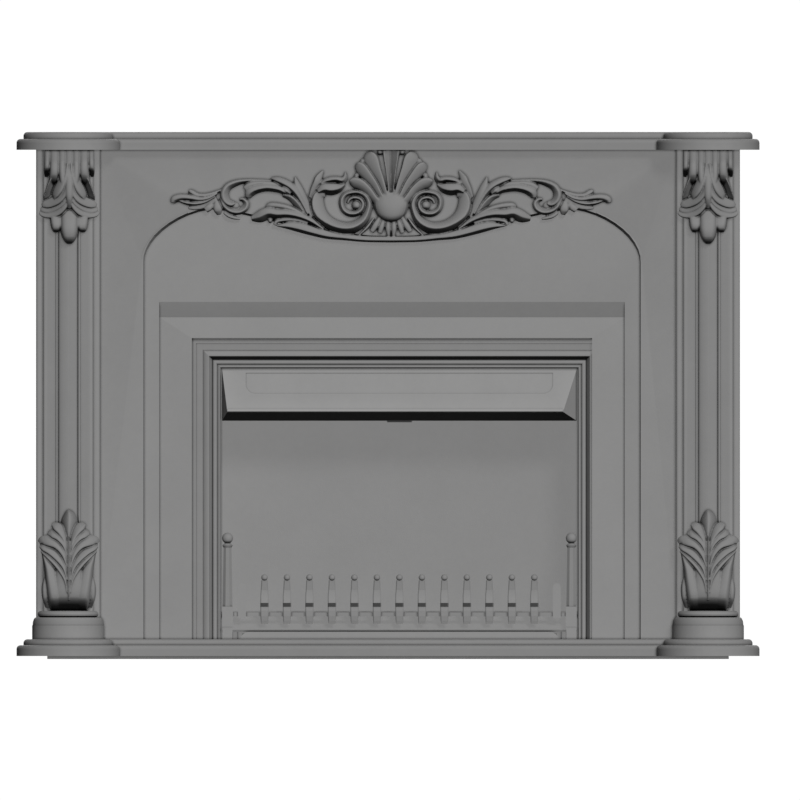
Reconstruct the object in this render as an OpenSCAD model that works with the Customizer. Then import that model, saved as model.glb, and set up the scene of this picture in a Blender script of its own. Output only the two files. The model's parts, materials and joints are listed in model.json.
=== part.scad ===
// Cast iron fireplace: carved surround, slips, and a recessed open-fire insert.
// X runs to the viewer's right, Z is up and -Y faces the room. Lengths are millimetres.
// Inside the modules, depths are forward distances from the wall plane.

/* [Surround] */
// Height from the floor to the top of the shelf
overall_h = 1064; // [1000:1:1120]
// Forward distance of the pilaster fronts from the wall
column_f = 120; // [112:1:130]
// Wall thickness of the castings
wall = 8; // [6:0.5:9]

/* [Shelf] */
// Radius of the lower shelf tier over each pilaster
shelf_r = 104; // [96:1:110]
// Height of the lower shelf tier
bed_h = 22; // [20:1:28]
// Height of the upper shelf tier
top_h = 14; // [12:0.5:18]
// Step in from each tier to the next one
tier_step = 14; // [10:1:18]
// Forward distance of the straight shelf front
ledge_f = 118; // [104:1:120]
// Radius of the rounded tier edges
edge_r = 8; // [4:0.5:9]

/* [Hearth] */
// Radius of the lower hearth tier under each pilaster
hearth_r = 104; // [96:1:110]
// Height of the lower hearth tier
slab_h = 22; // [20:1:26]
// Height of the upper hearth tier
hearth_top_h = 12; // [11:0.5:16]
// Height of the recessed strip that the hearth stands on
strip_h = 6; // [5:0.5:12]
// Half the length of the recessed strip
strip_half = 688; // [670:1:710]

/* [Pilasters] */
// Width of a pilaster
pilaster_w = 129; // [120:1:136]
// Width of the lower strip down each edge
edge_strip_w = 14; // [10:0.5:18]
// Step from the flat field back to the edge strips
edge_step = 8; // [4:0.5:10]
// Width of the central reed
reed_w = 38; // [30:1:46]
// Rise of the central reed over the flat field
reed_rise = 7; // [4:0.5:9]
// Width of the fine bead on each side of the reed
fine_bead_w = 5; // [3:0.5:6]

/* [Plinths] */
// Radius of the round plinth
plinth_r = 72.5; // [70:0.5:78]
// Height of the straight drum of the plinth
drum_h = 28; // [22:1:36]
// Height of the quarter round above the drum
ovolo_h = 16; // [12:0.5:20]
// Inward run of the quarter round
ovolo_run = 7.5; // [5:0.5:8]
// Radius of the half-round ring over the quarter round
torus_r = 61.5; // [56:0.5:64]
// Height of the half-round ring
torus_h = 13; // [10:0.5:16]

/* [Front panel] */
// Forward distance of the panel face
panel_f = 80; // [76:1:90]
// Panel thickness
panel_t = 10; // [8:0.5:12]
// How far the opening sits right of the pilasters' centre line
opening_x = 8; // [0:1:12]
// Width of the panel beside the opening
jamb_w = 81.5; // [76:0.5:90]
// Distance from each jamb in to the crown of its shoulder
shoulder_run = 134; // [120:1:150]
// Depth of the shoulders' springing below the shelf
spring_drop = 226; // [215:1:240]
// Depth of the shoulders' crown below the shelf
crown_drop = 121; // [115:1:130]
// Depth of the middle of the opening's head below the shelf
sag_drop = 180; // [170:1:184]
// Width of the steep edge round the shoulders of the opening
steep_w = 5; // [3:0.5:6]
// Width of the soft roll along the shoulders
roll_w = 9; // [7:0.5:12]
// Rise of the soft roll along the shoulders
roll_rise = 2.5; // [1:0.5:4]
// Depth of the fixing flange behind each side of the panel
flange_depth = 22; // [18:1:30]

/* [Crest] */
// Depth of the shell's hub below the shelf
hub_drop = 103; // [102:0.5:106]
// Distance from each jamb in to the crest's tip
crest_inset = 57; // [50:1:80]
// Height of the crest
crest_h = 182; // [174:1:183]
// Relief of the crest
crest_relief = 34; // [20:1:44]

/* [Leaves] */
// Width of the leaf under the shelf
corbel_w = 121; // [112:1:126]
// Height of the leaf under the shelf
corbel_h = 189; // [170:1:200]
// Relief of the leaf under the shelf
corbel_relief = 50; // [36:1:58]
// Width of the leaf over the plinth
foot_w = 119; // [112:1:126]
// Height of the leaf over the plinth
foot_h = 202; // [180:1:215]
// Relief of the leaf over the plinth
foot_relief = 48; // [36:1:56]

/* [Infill and slips] */
// Thickness of the infill plate behind the opening
infill_t = 8; // [6:0.5:10]
// Width of the infill plate shown beside the slips
infill_reveal = 30; // [20:1:40]
// How far the infill plate reaches past the opening
infill_lap = 40; // [20:1:60]
// Height of the raked band under the head of the hole
rake_h = 31; // [24:1:36]
// Forward distance of the slips' outer edges
slip_f = 57; // [56:0.5:60]
// Rise of the slips from their outer to their inner edges
slip_lift = 4; // [1:0.5:6]
// Thickness of the slips at their outer edges
slip_t = 8; // [6:0.5:9]
// Width of the side slips
side_slip_w = 66; // [50:1:80]
// Height of the top slip
top_slip_h = 42; // [30:1:60]
// Reveal between the frame's moulding and the top slip
slip_reveal = 2; // [1:0.5:4]

/* [Insert frame] */
// How far the insert sits right of the pilasters' centre line
insert_x = 23; // [15:1:23]
// Half the width of the fire opening
fire_half = 360; // [350:1:366]
// Height of the fire opening above the hearth
fire_h = 547; // [535:1:548]
// Width of the frame's inner fillet
inner_w = 8; // [6:0.5:10]
// Width of the bead beside the inner fillet
frame_bead_w = 9.5; // [7:0.5:11]
// Width of the steep rise beyond the bead
riser_w = 7; // [5:0.5:9]
// Width of the rounded face beyond the rise
ovolo_w = 11.5; // [9:0.5:13]
// Width of the flat band
band_w = 14.5; // [10:0.5:18]
// Width of the raised outer strip
outer_strip_w = 8.5; // [6:0.5:10]
// Width of the lap behind the slips
lap_w = 15; // [10:1:20]
// Forward distance of the frame's back
frame_back_f = 14; // [10:1:16]

/* [Hood] */
// Forward distance of the hood's top edge
hood_top_f = 24; // [22:1:30]
// Forward distance of the hood's lower front edge
hood_front_f = 60; // [50:1:70]
// Height of the hood's lower front edge above the hearth
hood_front_z = 459; // [450:1:465]
// Height of the hood's lower back edge above the hearth
hood_back_z = 441; // [434:1:446]
// Inward step of the hood's lower front corners
hood_taper = 19; // [12:1:26]
// How far the hood's lower front edge sits left of its top edge
hood_shift = 8.5; // [0:0.5:10]
// Gap between the hood and the sides of the fire opening
hood_gap = 2; // [1:0.5:4]
// Hood metal thickness
hood_t = 6; // [5:0.5:8]
// Half the width of the hood's sunk panel
hood_panel_half = 310; // [290:1:318]
// Depth of the hood's sunk panel
hood_panel_depth = 1; // [0.5:0.5:3]
// Height of the raised lip along the hood's lower edge
hood_lip_h = 5; // [3:0.5:8]
// Rise of the raised lip along the hood's lower edge
hood_lip_rise = 1.5; // [0.5:0.5:3]

/* [Firebox] */
// Distance from the wall plane back to the fireback
firebox_depth = 180; // [172:1:230]
// Thickness of the firebox plates
plate_t = 8; // [6:0.5:10]
// Height of the smoke chamber over the throat plate
chamber_h = 52; // [51:1:60]
// Inside radius of the flue spigot
flue_r = 75; // [62.5:0.5:75]
// Wall of the flue spigot
flue_wall = 6; // [5:0.5:8]
// Height of the flue spigot
flue_h = 60; // [50:1:90]
// Height of the fire floor above the hearth
floor_z = 53; // [48:1:56]
// Forward distance of the apron's lower edge
apron_f = 30; // [26:1:32]
// Forward distance of the apron's upper edge, behind the wall plane
apron_back_f = -30; // [-40:1:-24]
// Height of the apron's lower edge above the hearth
apron_z = 19; // [18.5:0.5:22]

/* [Damper] */
// Forward distance of the damper spindle, behind the wall plane
damper_f = -60; // [-64:1:-56]
// Half the length of the damper flap
flap_half = 202; // [160:1:220]
// Depth of the damper flap, front to back
flap_d = 96; // [80:1:100]
// Thickness of the damper flap
flap_t = 5; // [4:0.5:6]
// Gap round the damper flap
flap_gap = 4; // [2:0.5:5]
// Radius of the damper spindle
spindle_r = 5; // [4:0.5:6]
// Radius of the barrel round the spindle
barrel_r = 8.5; // [7.5:0.5:10]
// Running clearance of the spindle in its bearings
bearing_gap = 0.08; // [0.02:0.02:0.1]
// Length of the lever below the spindle
lever_l = 109; // [100:1:110]
// Radius of the lever rod
lever_r = 4; // [3:0.5:5]
// Half the length of the lever's crossbar
crossbar_half = 25; // [15:1:35]

/* [Fire basket] */
// Gap between each post and the side of the fire opening
post_side_gap = 2; // [1:0.5:6]
// Forward distance of the posts' middles
post_f = 46; // [44:1:50]
// Width of the posts' square blocks
post_w = 22; // [18:1:24]
// Width of the posts' shafts under their collars
shaft_w = 16; // [12:0.5:18]
// Radius of the balls on the posts
finial_r = 11; // [8:0.5:12]
// Height of the basket bars' lower ends above the hearth
bar_z0 = 31; // [28:1:36]
// Height of the basket bars' upper ends above the hearth
bar_z1 = 119; // [110:1:125]
// Number of basket bars with a ball on top
ball_bars = 13; // [5:2:13]
// Distance from the middle of a post to the middle of the plain bar next to it
post_bar_gap = 29.2; // [24:0.1:34]
// Width of a basket bar
bar_w = 17; // [14:0.5:20]
// Radius of the balls on the bars
ball_r = 6.5; // [5:0.5:8]
// Height of the rail's underside above the hearth
rail_z = 46; // [40:1:60]
// Height of the rail that joins the bars
rail_h = 8; // [6:0.5:12]
// Thickness of the rail that joins the bars
rail_t = 6; // [5:0.5:6]
// Number of slots in the bottom grate
grate_slots = 18; // [10:1:20]
// Width of a slot in the bottom grate
slot_w = 13; // [8:0.5:15]

/* [Ash pan] */
// Half the width of the ash pan's front
pan_half = 320; // [290:1:321]
// Height of the ash pan's front
pan_h = 14; // [11:0.5:15]
// Width of the rounded upper corners of the ash pan's front
pan_corner_w = 17; // [8:1:30]
// Thickness of the ash pan's front
pan_front_t = 6; // [4:0.5:8]
// Sheet thickness of the ash pan
sheet_t = 2; // [1.5:0.5:3]
// Clearance under the ash pan
pan_gap = 0.4; // [0.3:0.1:0.8]

/* [Fixings] */
// Shank radius of the assembly bolts
bolt_r = 4; // [3:0.5:5]
// Clearance round the bolts in their holes
bolt_gap = 0.5; // [0.3:0.1:1]
// Radius of the wall fixing holes
lug_hole_r = 4.5; // [3.5:0.5:5.5]
// Height of each wall strap
lug_h = 40; // [30:1:50]
// Thickness of each wall strap
lug_t = 6; // [5:0.5:8]
// Height of the lower wall straps above the hearth
lug_low = 160; // [120:10:240]
// Height of the upper wall straps above the hearth
lug_high = 860; // [760:10:900]

/* [Hidden] */
paint = "#828282";
steel = "#6c6c6c";
$fn = 48;

hearth_z = strip_h + slab_h + hearth_top_h;
body_top = overall_h - top_h - bed_h;
back_reach = firebox_depth + plate_t;
wall_y = (column_f + max(shelf_r, hearth_r) - back_reach) / 2;
fire_top = hearth_z + fire_h;
frame_w = inner_w + frame_bead_w + riser_w + ovolo_w + band_w + outer_strip_w;
slip_half = fire_half + frame_w - (insert_x - opening_x);
slip_back_f = slip_f - slip_t;
slip_low_z = fire_top + frame_w + slip_reveal;
slip_top_z = slip_low_z + top_slip_h;
infill_half = slip_half + side_slip_w;
infill_hole_top = slip_top_z + rake_h;
infill_f = panel_f - panel_t;
opening_half = infill_half + infill_reveal;
crown_x = opening_half - shoulder_run;
crest_w = 2 * (opening_half - crest_inset);
panel_half = opening_half + jamb_w;
pilaster_x = panel_half + pilaster_w / 2;
field_f = column_f - reed_rise;
edge_f = field_f - edge_step;
post_x = fire_half - post_side_gap - post_w / 2;
bar_pitch = (post_x - post_bar_gap) / ((ball_bars + 1) / 2);
box_half = fire_half + 1;
throat_low = fire_top;
chamber_top = throat_low + plate_t + chamber_h;
flue_f = (frame_back_f - firebox_depth) / 2;
flange_t = 6;
spigot_flange = 4;
spindle_z = throat_low + plate_t / 2;
slot_half = flap_half + flap_gap;
bracket_l = 18;
bracket_w = 25;
fire_floor_z = hearth_z + floor_z;
plinth_top = hearth_z + drum_h + ovolo_h;
foot_z = plinth_top + torus_h;
strip_f = ledge_f - 2 * tier_step + wall;
hollow_half = panel_half - wall;
flange_end = 30;
roll_end = 9;
shelf_bolt_grip = 12;
shelf_bolt_f0 = 40;
shelf_bolt_f1 = 80;
panel_bolt_heights = [160, 500, 840];
hood_screw_x = 250;
hood_screw_f = 2;
grate_frame_half = 248;
grate_f0 = -148;
grate_f1 = -52;
grate_gap = 2;
grate_rim = 12;
pan_front_f = apron_f - 2;
pan_side_gap = 8;
leaf_pad_half = 40;
corbel_pad_h = 130;
foot_pad_h = 120;

// ---------- shared construction ----------

// Paints a casting and stands it in front of the wall plane
module iron() color(paint) translate([0, wall_y, 0]) children();
module bright() color(steel) translate([0, wall_y, 0]) children();

// Box from side x0 to x1, depth f0 to f1 forward of the wall and height z0 to z1
module block(x0, x1, f0, f1, z0, z1) {
    translate([x0, -f1, z0]) cube([x1 - x0, f1 - f0, z1 - z0]);
}

// Front-view outline given a thickness from depth f0 to f1
module plate(f0, f1) {
    translate([0, -f0, 0]) rotate([90, 0, 0]) linear_extrude(f1 - f0) children();
}

// Side-view outline, drawn as [depth, height], run from side x0 to x1
module run_x(x0, x1, side_view) {
    translate([x0, 0, 0]) rotate([90, 0, 90]) linear_extrude(x1 - x0)
        polygon([for (p = side_view) [-p[0], p[1]]]);
}

module rod_x(x0, x1, f, z, r) translate([x0, -f, z]) rotate([0, 90, 0]) cylinder(h = x1 - x0, r = r);
module rod_f(x, z, f0, f1, r) translate([x, -f0, z]) rotate([90, 0, 0]) cylinder(h = f1 - f0, r = r);
module rod_z(x, f, z0, z1, r) translate([x, -f, z0]) cylinder(h = z1 - z0, r = r);

// Hexagon bolt head or nut across flats for a shank of radius r, standing on z = 0
module hex(r, h) cylinder(h = h, r = 1.9 * r, $fn = 6);

// Points of an arc, centre c, radius r, from angle a0 to a1
function arc(c, r, a0, a1, n = 6) =
    [for (i = [0:n]) c + r * [cos(a0 + (a1 - a0) * i / n), sin(a0 + (a1 - a0) * i / n)]];

// Points of a cubic curve through its two ends and pulled by its two handles
function curve(a, b, c, d, n = 10) =
    [for (i = [0:n]) let (t = i / n, s = 1 - t) s*s*s*a + 3*s*s*t*b + 3*s*t*t*c + t*t*t*d];

function mirrored(points) = [for (i = [len(points) - 1:-1:0]) [-points[i][0], points[i][1]]];

// ---------- shelf and hearth tiers ----------

// Edge of a tier: flat underside, upright side, rounded top edge
function tier_edge(r, h, e) = concat([[0, 0], [r, 0]], arc([r - e, h - e], e, 0, 90), [[0, h]]);

// D-shaped plan under an edge profile: round in front of the column, straight back to the wall
module d_block(profile) {
    translate([0, -column_f, 0]) rotate_extrude() polygon(profile);
    rotate([90, 0, 0]) linear_extrude(column_f) polygon(concat(profile, mirrored(profile)));
}

// One tier of the shelf or hearth: two round ends and a straight middle
module tier(r, front_f, h, e) {
    for (side = [-1, 1]) translate([side * pilaster_x, 0, 0]) d_block(tier_edge(r, h, e));
    run_x(-pilaster_x, pilaster_x, tier_edge(front_f, h, e));
}

// ---------- surround ----------

module shelf_top() {
    iron() translate([0, 0, overall_h - top_h])
        tier(shelf_r - tier_step, ledge_f - tier_step, top_h, edge_r);
}

// Lower shelf tier, lightened from below behind the front panel
module shelf_bed_moulding() {
    iron() difference() {
        translate([0, 0, body_top]) tier(shelf_r, ledge_f, bed_h, edge_r);
        block(-panel_half, panel_half, wall, infill_f - infill_t, body_top - 1, body_top + bed_h - wall);
        shelf_bolt_places() cylinder(h = wall + shelf_bolt_grip, r = bolt_r + bolt_gap);
    }
}

module hearth_top() {
    iron() translate([0, 0, strip_h + slab_h])
        tier(hearth_r - tier_step, ledge_f - tier_step, hearth_top_h, edge_r);
}

// Lower hearth tier, hollowed from below inside the recessed strip
module hearth_slab() {
    iron() difference() {
        translate([0, 0, strip_h]) tier(hearth_r, ledge_f, slab_h, edge_r);
        block(-hollow_half, hollow_half, 2 * wall, strip_f - wall, strip_h - 1, strip_h + slab_h - wall);
    }
}

// Recessed strip that the hearth stands on, open in the middle
module base_strip() {
    iron() difference() {
        block(-strip_half, strip_half, wall, strip_f, 0, strip_h);
        block(-hollow_half, hollow_half, 2 * wall, strip_f - wall, -1, strip_h + 1);
    }
}

// Half of a pilaster's plan, from the reed's crest out to the back edge of the side wall
function pilaster_half_plan() =
    let (
        bead_r = fine_bead_w / 2,
        bead_x = reed_w / 2 + 1 + bead_r,
        half = pilaster_w / 2,
        strip_x = half - edge_strip_w,
        round_r = 5,
        inner_step = 4
    )
    concat(
        [for (a = [90:-15:0]) [reed_w / 2 * cos(a), field_f + reed_rise * sin(a)]],
        arc([bead_x, field_f], bead_r, 180, 0),
        arc([strip_x - round_r, field_f - round_r], round_r, 90, 0, 4),
        [[strip_x, edge_f]],
        arc([half - round_r, edge_f - round_r], round_r, 90, 0, 4),
        [[half, 0], [half - wall, 0], [half - wall, edge_f - wall]],
        [[strip_x, edge_f - wall], [strip_x - inner_step, field_f - wall]]
    );

// Hollow pilaster, open to the wall, capped under the shelf, with a flat pad behind each leaf
module pilaster(side) {
    plan = concat(mirrored(pilaster_half_plan()), pilaster_half_plan());
    inner = pilaster_w / 2 - wall;
    iron() difference() {
        translate([side * pilaster_x, 0, 0]) {
            translate([0, 0, plinth_top]) linear_extrude(body_top - plinth_top)
                polygon([for (p = plan) [p[0], -p[1]]]);
            block(-inner, inner, wall, field_f - wall, body_top - wall, body_top);
            for (z = [[foot_z, foot_z + foot_pad_h], [body_top - corbel_pad_h, body_top]])
                block(-leaf_pad_half, leaf_pad_half, field_f - wall, column_f, z[0], z[1]);
        }
        shelf_bolt_places() translate([0, 0, -1]) cylinder(h = wall + 2, r = bolt_r + bolt_gap);
        panel_bolt_places() translate([0, 0, -1])
            cylinder(h = panel_t + wall + 2, r = bolt_r + bolt_gap);
    }
}

module left_pilaster() pilaster(-1);
module right_pilaster() pilaster(1);

// Edge of the plinth: drum, then a quarter round stepping in
function plinth_edge() = concat(
    [[0, 0], [plinth_r, 0], [plinth_r, drum_h]],
    [for (a = [0:15:90]) [plinth_r - 1 - (ovolo_run - 1) * (1 - cos(a)), drum_h + ovolo_h * sin(a)]],
    [[0, drum_h + ovolo_h]]
);

// Plinth: drum and quarter round back to the wall, half-round ring against the pilaster's front
module plinth(side) {
    ring_r = torus_h / 2;
    inner_r = plinth_r - 2 * wall;
    iron() translate([side * pilaster_x, 0, hearth_z]) {
        difference() {
            d_block(plinth_edge());
            rod_z(0, column_f, -1, drum_h, inner_r);
            block(-inner_r, inner_r, -1, column_f, -1, drum_h);
        }
        translate([0, -column_f, drum_h + ovolo_h]) rotate(180) rotate_extrude(angle = 180)
            polygon(concat([[0, 0]], arc([torus_r - ring_r, ring_r], ring_r, -90, 90), [[0, torus_h]]));
    }
}

module left_plinth() plinth(-1);
module right_plinth() plinth(1);

// Right half of the opening: jamb, round shoulder, then the head sinking to the middle
function half_opening() =
    let (
        spring = [opening_half, body_top - spring_drop],
        crown = [crown_x, body_top - crown_drop],
        middle = [0, body_top - sag_drop],
        jamb_pull = 36,
        shoulder_pull = [80, 12],
        head_pull = 56,
        middle_pull = 150
    )
    concat(
        [[opening_half, hearth_z - 1]],
        curve(spring, spring + [0, jamb_pull], crown + [shoulder_pull[0], -shoulder_pull[1]], crown),
        [for (p = curve(crown, crown - [head_pull, 0], middle + [middle_pull, 0], middle)) if (p != crown) p]
    );

// Whole opening, from the foot of the right jamb round to the foot of the left one
function opening_path() =
    let (right = half_opening(), left = mirrored(right))
    concat(right, [for (i = [1:len(left) - 1]) left[i]]);

// Plate with the shaped opening, cut round the plinths, with a fixing flange down each side
module front_panel() {
    back_f = panel_f - panel_t;
    iron() difference() {
        union() {
            plate(back_f, panel_f) difference() {
                translate([-panel_half, hearth_z]) square([2 * panel_half, body_top - hearth_z]);
                translate([opening_x, 0]) polygon(opening_path());
                for (side = [-1, 1]) translate([side * pilaster_x, hearth_z])
                    polygon(concat(plinth_edge(), mirrored(plinth_edge())));
            }
            for (side = [-1, 1]) translate([side * (panel_half - panel_t / 2), 0, 0])
                block(-panel_t / 2, panel_t / 2, back_f - flange_depth, back_f,
                    plinth_top + flange_end, body_top - flange_end);
            translate([opening_x, -panel_f, 0]) both_sides() loft(roll_rings());
        }
        translate([opening_x, -panel_f, 0]) loft(steep_rings());
        panel_bolt_places() translate([0, 0, -1])
            cylinder(h = panel_t + wall + 2, r = bolt_r + bolt_gap);
    }
}

// Places a section, drawn as [distance outside the opening, rise], square to a path at point i
function ring_at(path, i, section) =
    let (
        along = path[min(i + 1, len(path) - 1)] - path[max(i - 1, 0)],
        out = [along[1], -along[0]] / norm(along)
    )
    [for (p = section) let (q = path[i] + out * p[0]) [q[0], -p[1], q[1]]];

// Soft roll on the face of the panel, growing from the springing round the shoulder
function roll_rings() =
    let (path = half_opening(), sunk = 0.2)
    [for (i = [1:roll_end])
        let (rise = roll_rise * min(1, (i - 1) / 4) - sunk)
        ring_at(path, i, [
            [1, -1], [1, rise], [steep_w, rise], [0.75 * roll_w, 0.6 * rise], [roll_w, -sunk], [roll_w, -1]
        ])
    ];

// Waste outside the steep edge of the opening: thin down the jambs, full round the shoulders
function steep_rings() =
    let (path = opening_path(), last = len(path) - 1, top = roll_rise + 1, back_w = 0.3)
    [for (i = [0:last])
        let (
            end = min(i, last - i),
            w = steep_w * min(1, 0.4 + 0.15 * max(0, end - 1))
        )
        ring_at(path, i, [
            [-2, -panel_t - 1], [-2, top], [w + w * top / panel_t, top], [back_w, -panel_t - 1]
        ])
    ];

// ---------- carving ----------

// Closed skin through equal rings of points, flat at both ends
module loft(rings) {
    m = len(rings[0]);
    n = len(rings);
    polyhedron(
        points = [for (ring = rings) each ring],
        faces = concat(
            [[for (j = [0:m - 1]) j]],
            [for (i = [0:n - 2], j = [0:m - 1]) let (k = (j + 1) % m)
                each [[i*m + j, (i + 1)*m + j, (i + 1)*m + k], [i*m + j, (i + 1)*m + k, i*m + k]]],
            [[for (j = [m - 1:-1:0]) (n - 1)*m + j]]
        )
    );
}

// Smooth run through every row of a list, with a few steps between neighbours
function smooth(rows, steps) =
    let (last = len(rows) - 1)
    concat(
        [for (i = [0:last - 1], j = [0:steps - 1])
            let (
                a = rows[max(i - 1, 0)],
                b = rows[i],
                c = rows[i + 1],
                d = rows[min(i + 2, last)],
                t = j / steps
            )
            b + ((c - a) * t + (2*a - 5*b + 4*c - d) * t*t + (3*b - a - 3*c + d) * t*t*t) / 2],
        [rows[last]]
    );

// Carved stroke on a flat ground. Each row is [across, up, half width, relief].
module stroke(rows, steps = 2, crown = 4) {
    run = smooth(rows, steps);
    last = len(run) - 1;
    loft([for (i = [0:last])
        let (
            along = run[min(i + 1, last)] - run[max(i - 1, 0)],
            out = [-along[1], along[0]] / norm([along[0], along[1]])
        )
        [for (k = [0:crown])
            let (a = 180 * k / crown)
            [
                run[i][0] + out[0] * run[i][2] * cos(a),
                -max(run[i][3], 1) * sin(a),
                run[i][1] + out[1] * run[i][2] * cos(a)
            ]]
    ]);
}

module both_sides() {
    children();
    mirror([1, 0, 0]) children();
}

// Scallop shell: petals from the hub, a round belly and the pleats under it
module shell() {
    stroke([[0, 2, 3, 12], [0, 40, 9, 18], [0, 80, 14, 24], [0, 100, 15, 25], [0, 103, 14, 22]]);
    both_sides() {
        stroke([[2, 4, 3, 12], [13, 40, 8, 19], [26, 74, 13, 25], [36, 90, 12, 22], [41, 98, 5, 8]]);
        stroke([[4, 2, 3, 12], [21, 28, 7, 19], [44, 54, 12, 26], [58, 66, 11, 22], [66, 72, 5, 8]]);
        stroke([[6, 0, 3, 12], [30, 12, 7, 19], [54, 27, 10, 25], [69, 36, 9, 22], [79, 41, 4, 8]]);
        stroke([[12, -42, 3, 8], [34, -52, 4, 12], [50, -62, 3, 9], [60, -69, 1, 4]]);
        stroke([[6, -40, 5, 12], [18, -52, 7, 15], [26, -64, 5, 8]]);
    }
    stroke([[0, -40, 5, 12], [0, -54, 8, 17], [0, -69, 4, 8]]);
    stroke([
        [0, 14, 14, 12], [0, 6, 28, 22], [0, -4, 36, 31], [0, -18, 34, 34], [0, -32, 22, 27], [0, -42, 6, 10]
    ], 2, 6);
}

// Scroll to one side of the shell: C-scroll with its volute, then leaves and tendrils outwards
module scroll() {
    stroke([
        [73, -10, 4, 12], [80, -4, 4, 14], [76, 4, 5, 15], [66, 6, 5, 16], [58, -4, 5, 17],
        [60, -19, 5, 18], [74, -26, 6, 18], [90, -21, 6, 19], [97, -6, 6, 20], [92, 9, 6, 20],
        [78, 17, 6, 21], [60, 15, 7, 22], [45, 2, 7, 23], [40, -17, 8, 24], [45, -37, 10, 26],
        [62, -53, 11, 28], [86, -59, 12, 28], [110, -53, 13, 27], [132, -37, 13, 26],
        [144, -13, 12, 24], [143, 12, 11, 22], [132, 28, 9, 20], [116, 35, 7, 17], [100, 33, 5, 12]
    ]);
    stroke([
        [150, 22, 6, 18], [140, 40, 7, 20], [122, 46, 6, 18], [102, 45, 7, 16], [91, 50, 6, 12],
        [88, 58, 2, 6]
    ]);
    stroke([[155, 6, 5, 12], [152, 30, 6, 14], [144, 46, 5, 12], [134, 61, 2, 6]]);
    stroke([[156, -37, 5, 14], [167, -13, 8, 18], [179, 12, 10, 20], [189, 30, 9, 18], [194, 48, 2, 8]]);
    stroke([[173, -4, 6, 16], [187, 22, 8, 18], [203, 38, 8, 20], [221, 44, 8, 20], [239, 45, 3, 10]]);
    stroke([
        [190, 10, 5, 12], [207, 22, 5, 13], [227, 29, 6, 15], [251, 32, 8, 17], [272, 28, 10, 18],
        [290, 18, 10, 16], [296, 6, 4, 8]
    ]);
    stroke([[215, 16, 4, 10], [197, 2, 4, 12], [183, -17, 4, 12], [171, -31, 3, 10]]);
    stroke([
        [239, 38, 2, 6], [268, 42, 4, 10], [294, 41, 6, 14], [318, 32, 8, 17], [334, 18, 9, 19],
        [337, 6, 8, 18], [330, -4, 7, 18], [318, -6, 6, 17], [311, 2, 4, 12]
    ]);
    stroke([
        [341, 2, 4, 10], [332, -13, 6, 15], [318, -22, 7, 17], [302, -23, 8, 18], [293, -12, 8, 18],
        [296, 0, 7, 16], [307, 3, 4, 12]
    ]);
    stroke([[337, 22, 3, 8], [366, 15, 4, 10], [387, 14, 6, 12], [401, 19, 6, 12], [409, 24, 3, 8]]);
    stroke([[338, 12, 4, 10], [373, 6, 7, 14], [399, 5, 10, 16], [425, 5, 10, 16], [443, 1, 5, 9]]);
    stroke([[338, 4, 4, 10], [368, -7, 7, 13], [389, -8, 6, 13], [408, -9, 3, 7]]);
    stroke([[341, 4, 4, 10], [345, -15, 9, 14], [342, -27, 5, 8]]);
    stroke([[352, 0, 3, 8], [362, -15, 6, 12], [370, -22, 3, 6]]);
    stroke([[336, -21, 3, 8], [320, -31, 4, 10], [305, -37, 2, 5]]);
    stroke([
        [144, -53, 6, 14], [173, -33, 8, 18], [203, -15, 10, 20], [229, -11, 12, 20], [251, -19, 14, 19],
        [270, -28, 11, 16], [286, -36, 4, 8]
    ]);
    stroke([[239, -46, 3, 8], [213, -44, 7, 14], [183, -48, 9, 16], [152, -58, 10, 17], [122, -68, 8, 16],
        [92, -74, 6, 12], [51, -76, 5, 10], [0, -77, 5, 10]]);
}

// The carved crest, one casting with a flat back
module crest_ornament() {
    iron() translate([opening_x, -panel_f, body_top]) resize([crest_w, crest_relief, crest_h])
        translate([0, 0, -hub_drop]) {
            shell();
            both_sides() scroll();
        }
}

// Acanthus leaf under the shelf: it swells forward, falls back and turns out over three tongues
module corbel_carving() {
    stroke([
        [0, 0, 50, 34], [0, -20, 49, 41], [0, -40, 47, 46], [0, -65, 44, 46], [0, -91, 48, 36],
        [0, -111, 54, 28], [0, -125, 59, 26], [0, -135, 60, 28], [0, -142, 50, 18]
    ], 1, 8);
    stroke([
        [0, -100, 12, 32], [0, -125, 17, 40], [0, -150, 18, 46], [0, -172, 15, 40], [0, -189, 5, 12]
    ], 2, 6);
    stroke([[0, -1, 5, 40], [0, -50, 6, 50], [0, -104, 5, 40]], 2, 3);
    both_sides() {
        stroke([[22, -110, 10, 26], [25, -130, 13, 36], [26, -150, 12, 34], [26, -163, 5, 14]]);
        stroke([
            [14, -1, 6, 38], [15, -40, 7, 51], [18, -72, 7, 50], [27, -100, 8, 40], [42, -122, 8, 32],
            [55, -134, 4, 22]
        ], 1);
        stroke([
            [30, -1, 6, 33], [30, -40, 7, 44], [33, -70, 7, 42], [43, -94, 7, 34], [54, -110, 6, 24],
            [60, -118, 3, 14]
        ], 1);
        stroke([[44, -1, 5, 22], [44, -40, 5, 26], [42, -62, 4, 22], [45, -80, 2, 10]], 1);
    }
}

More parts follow.
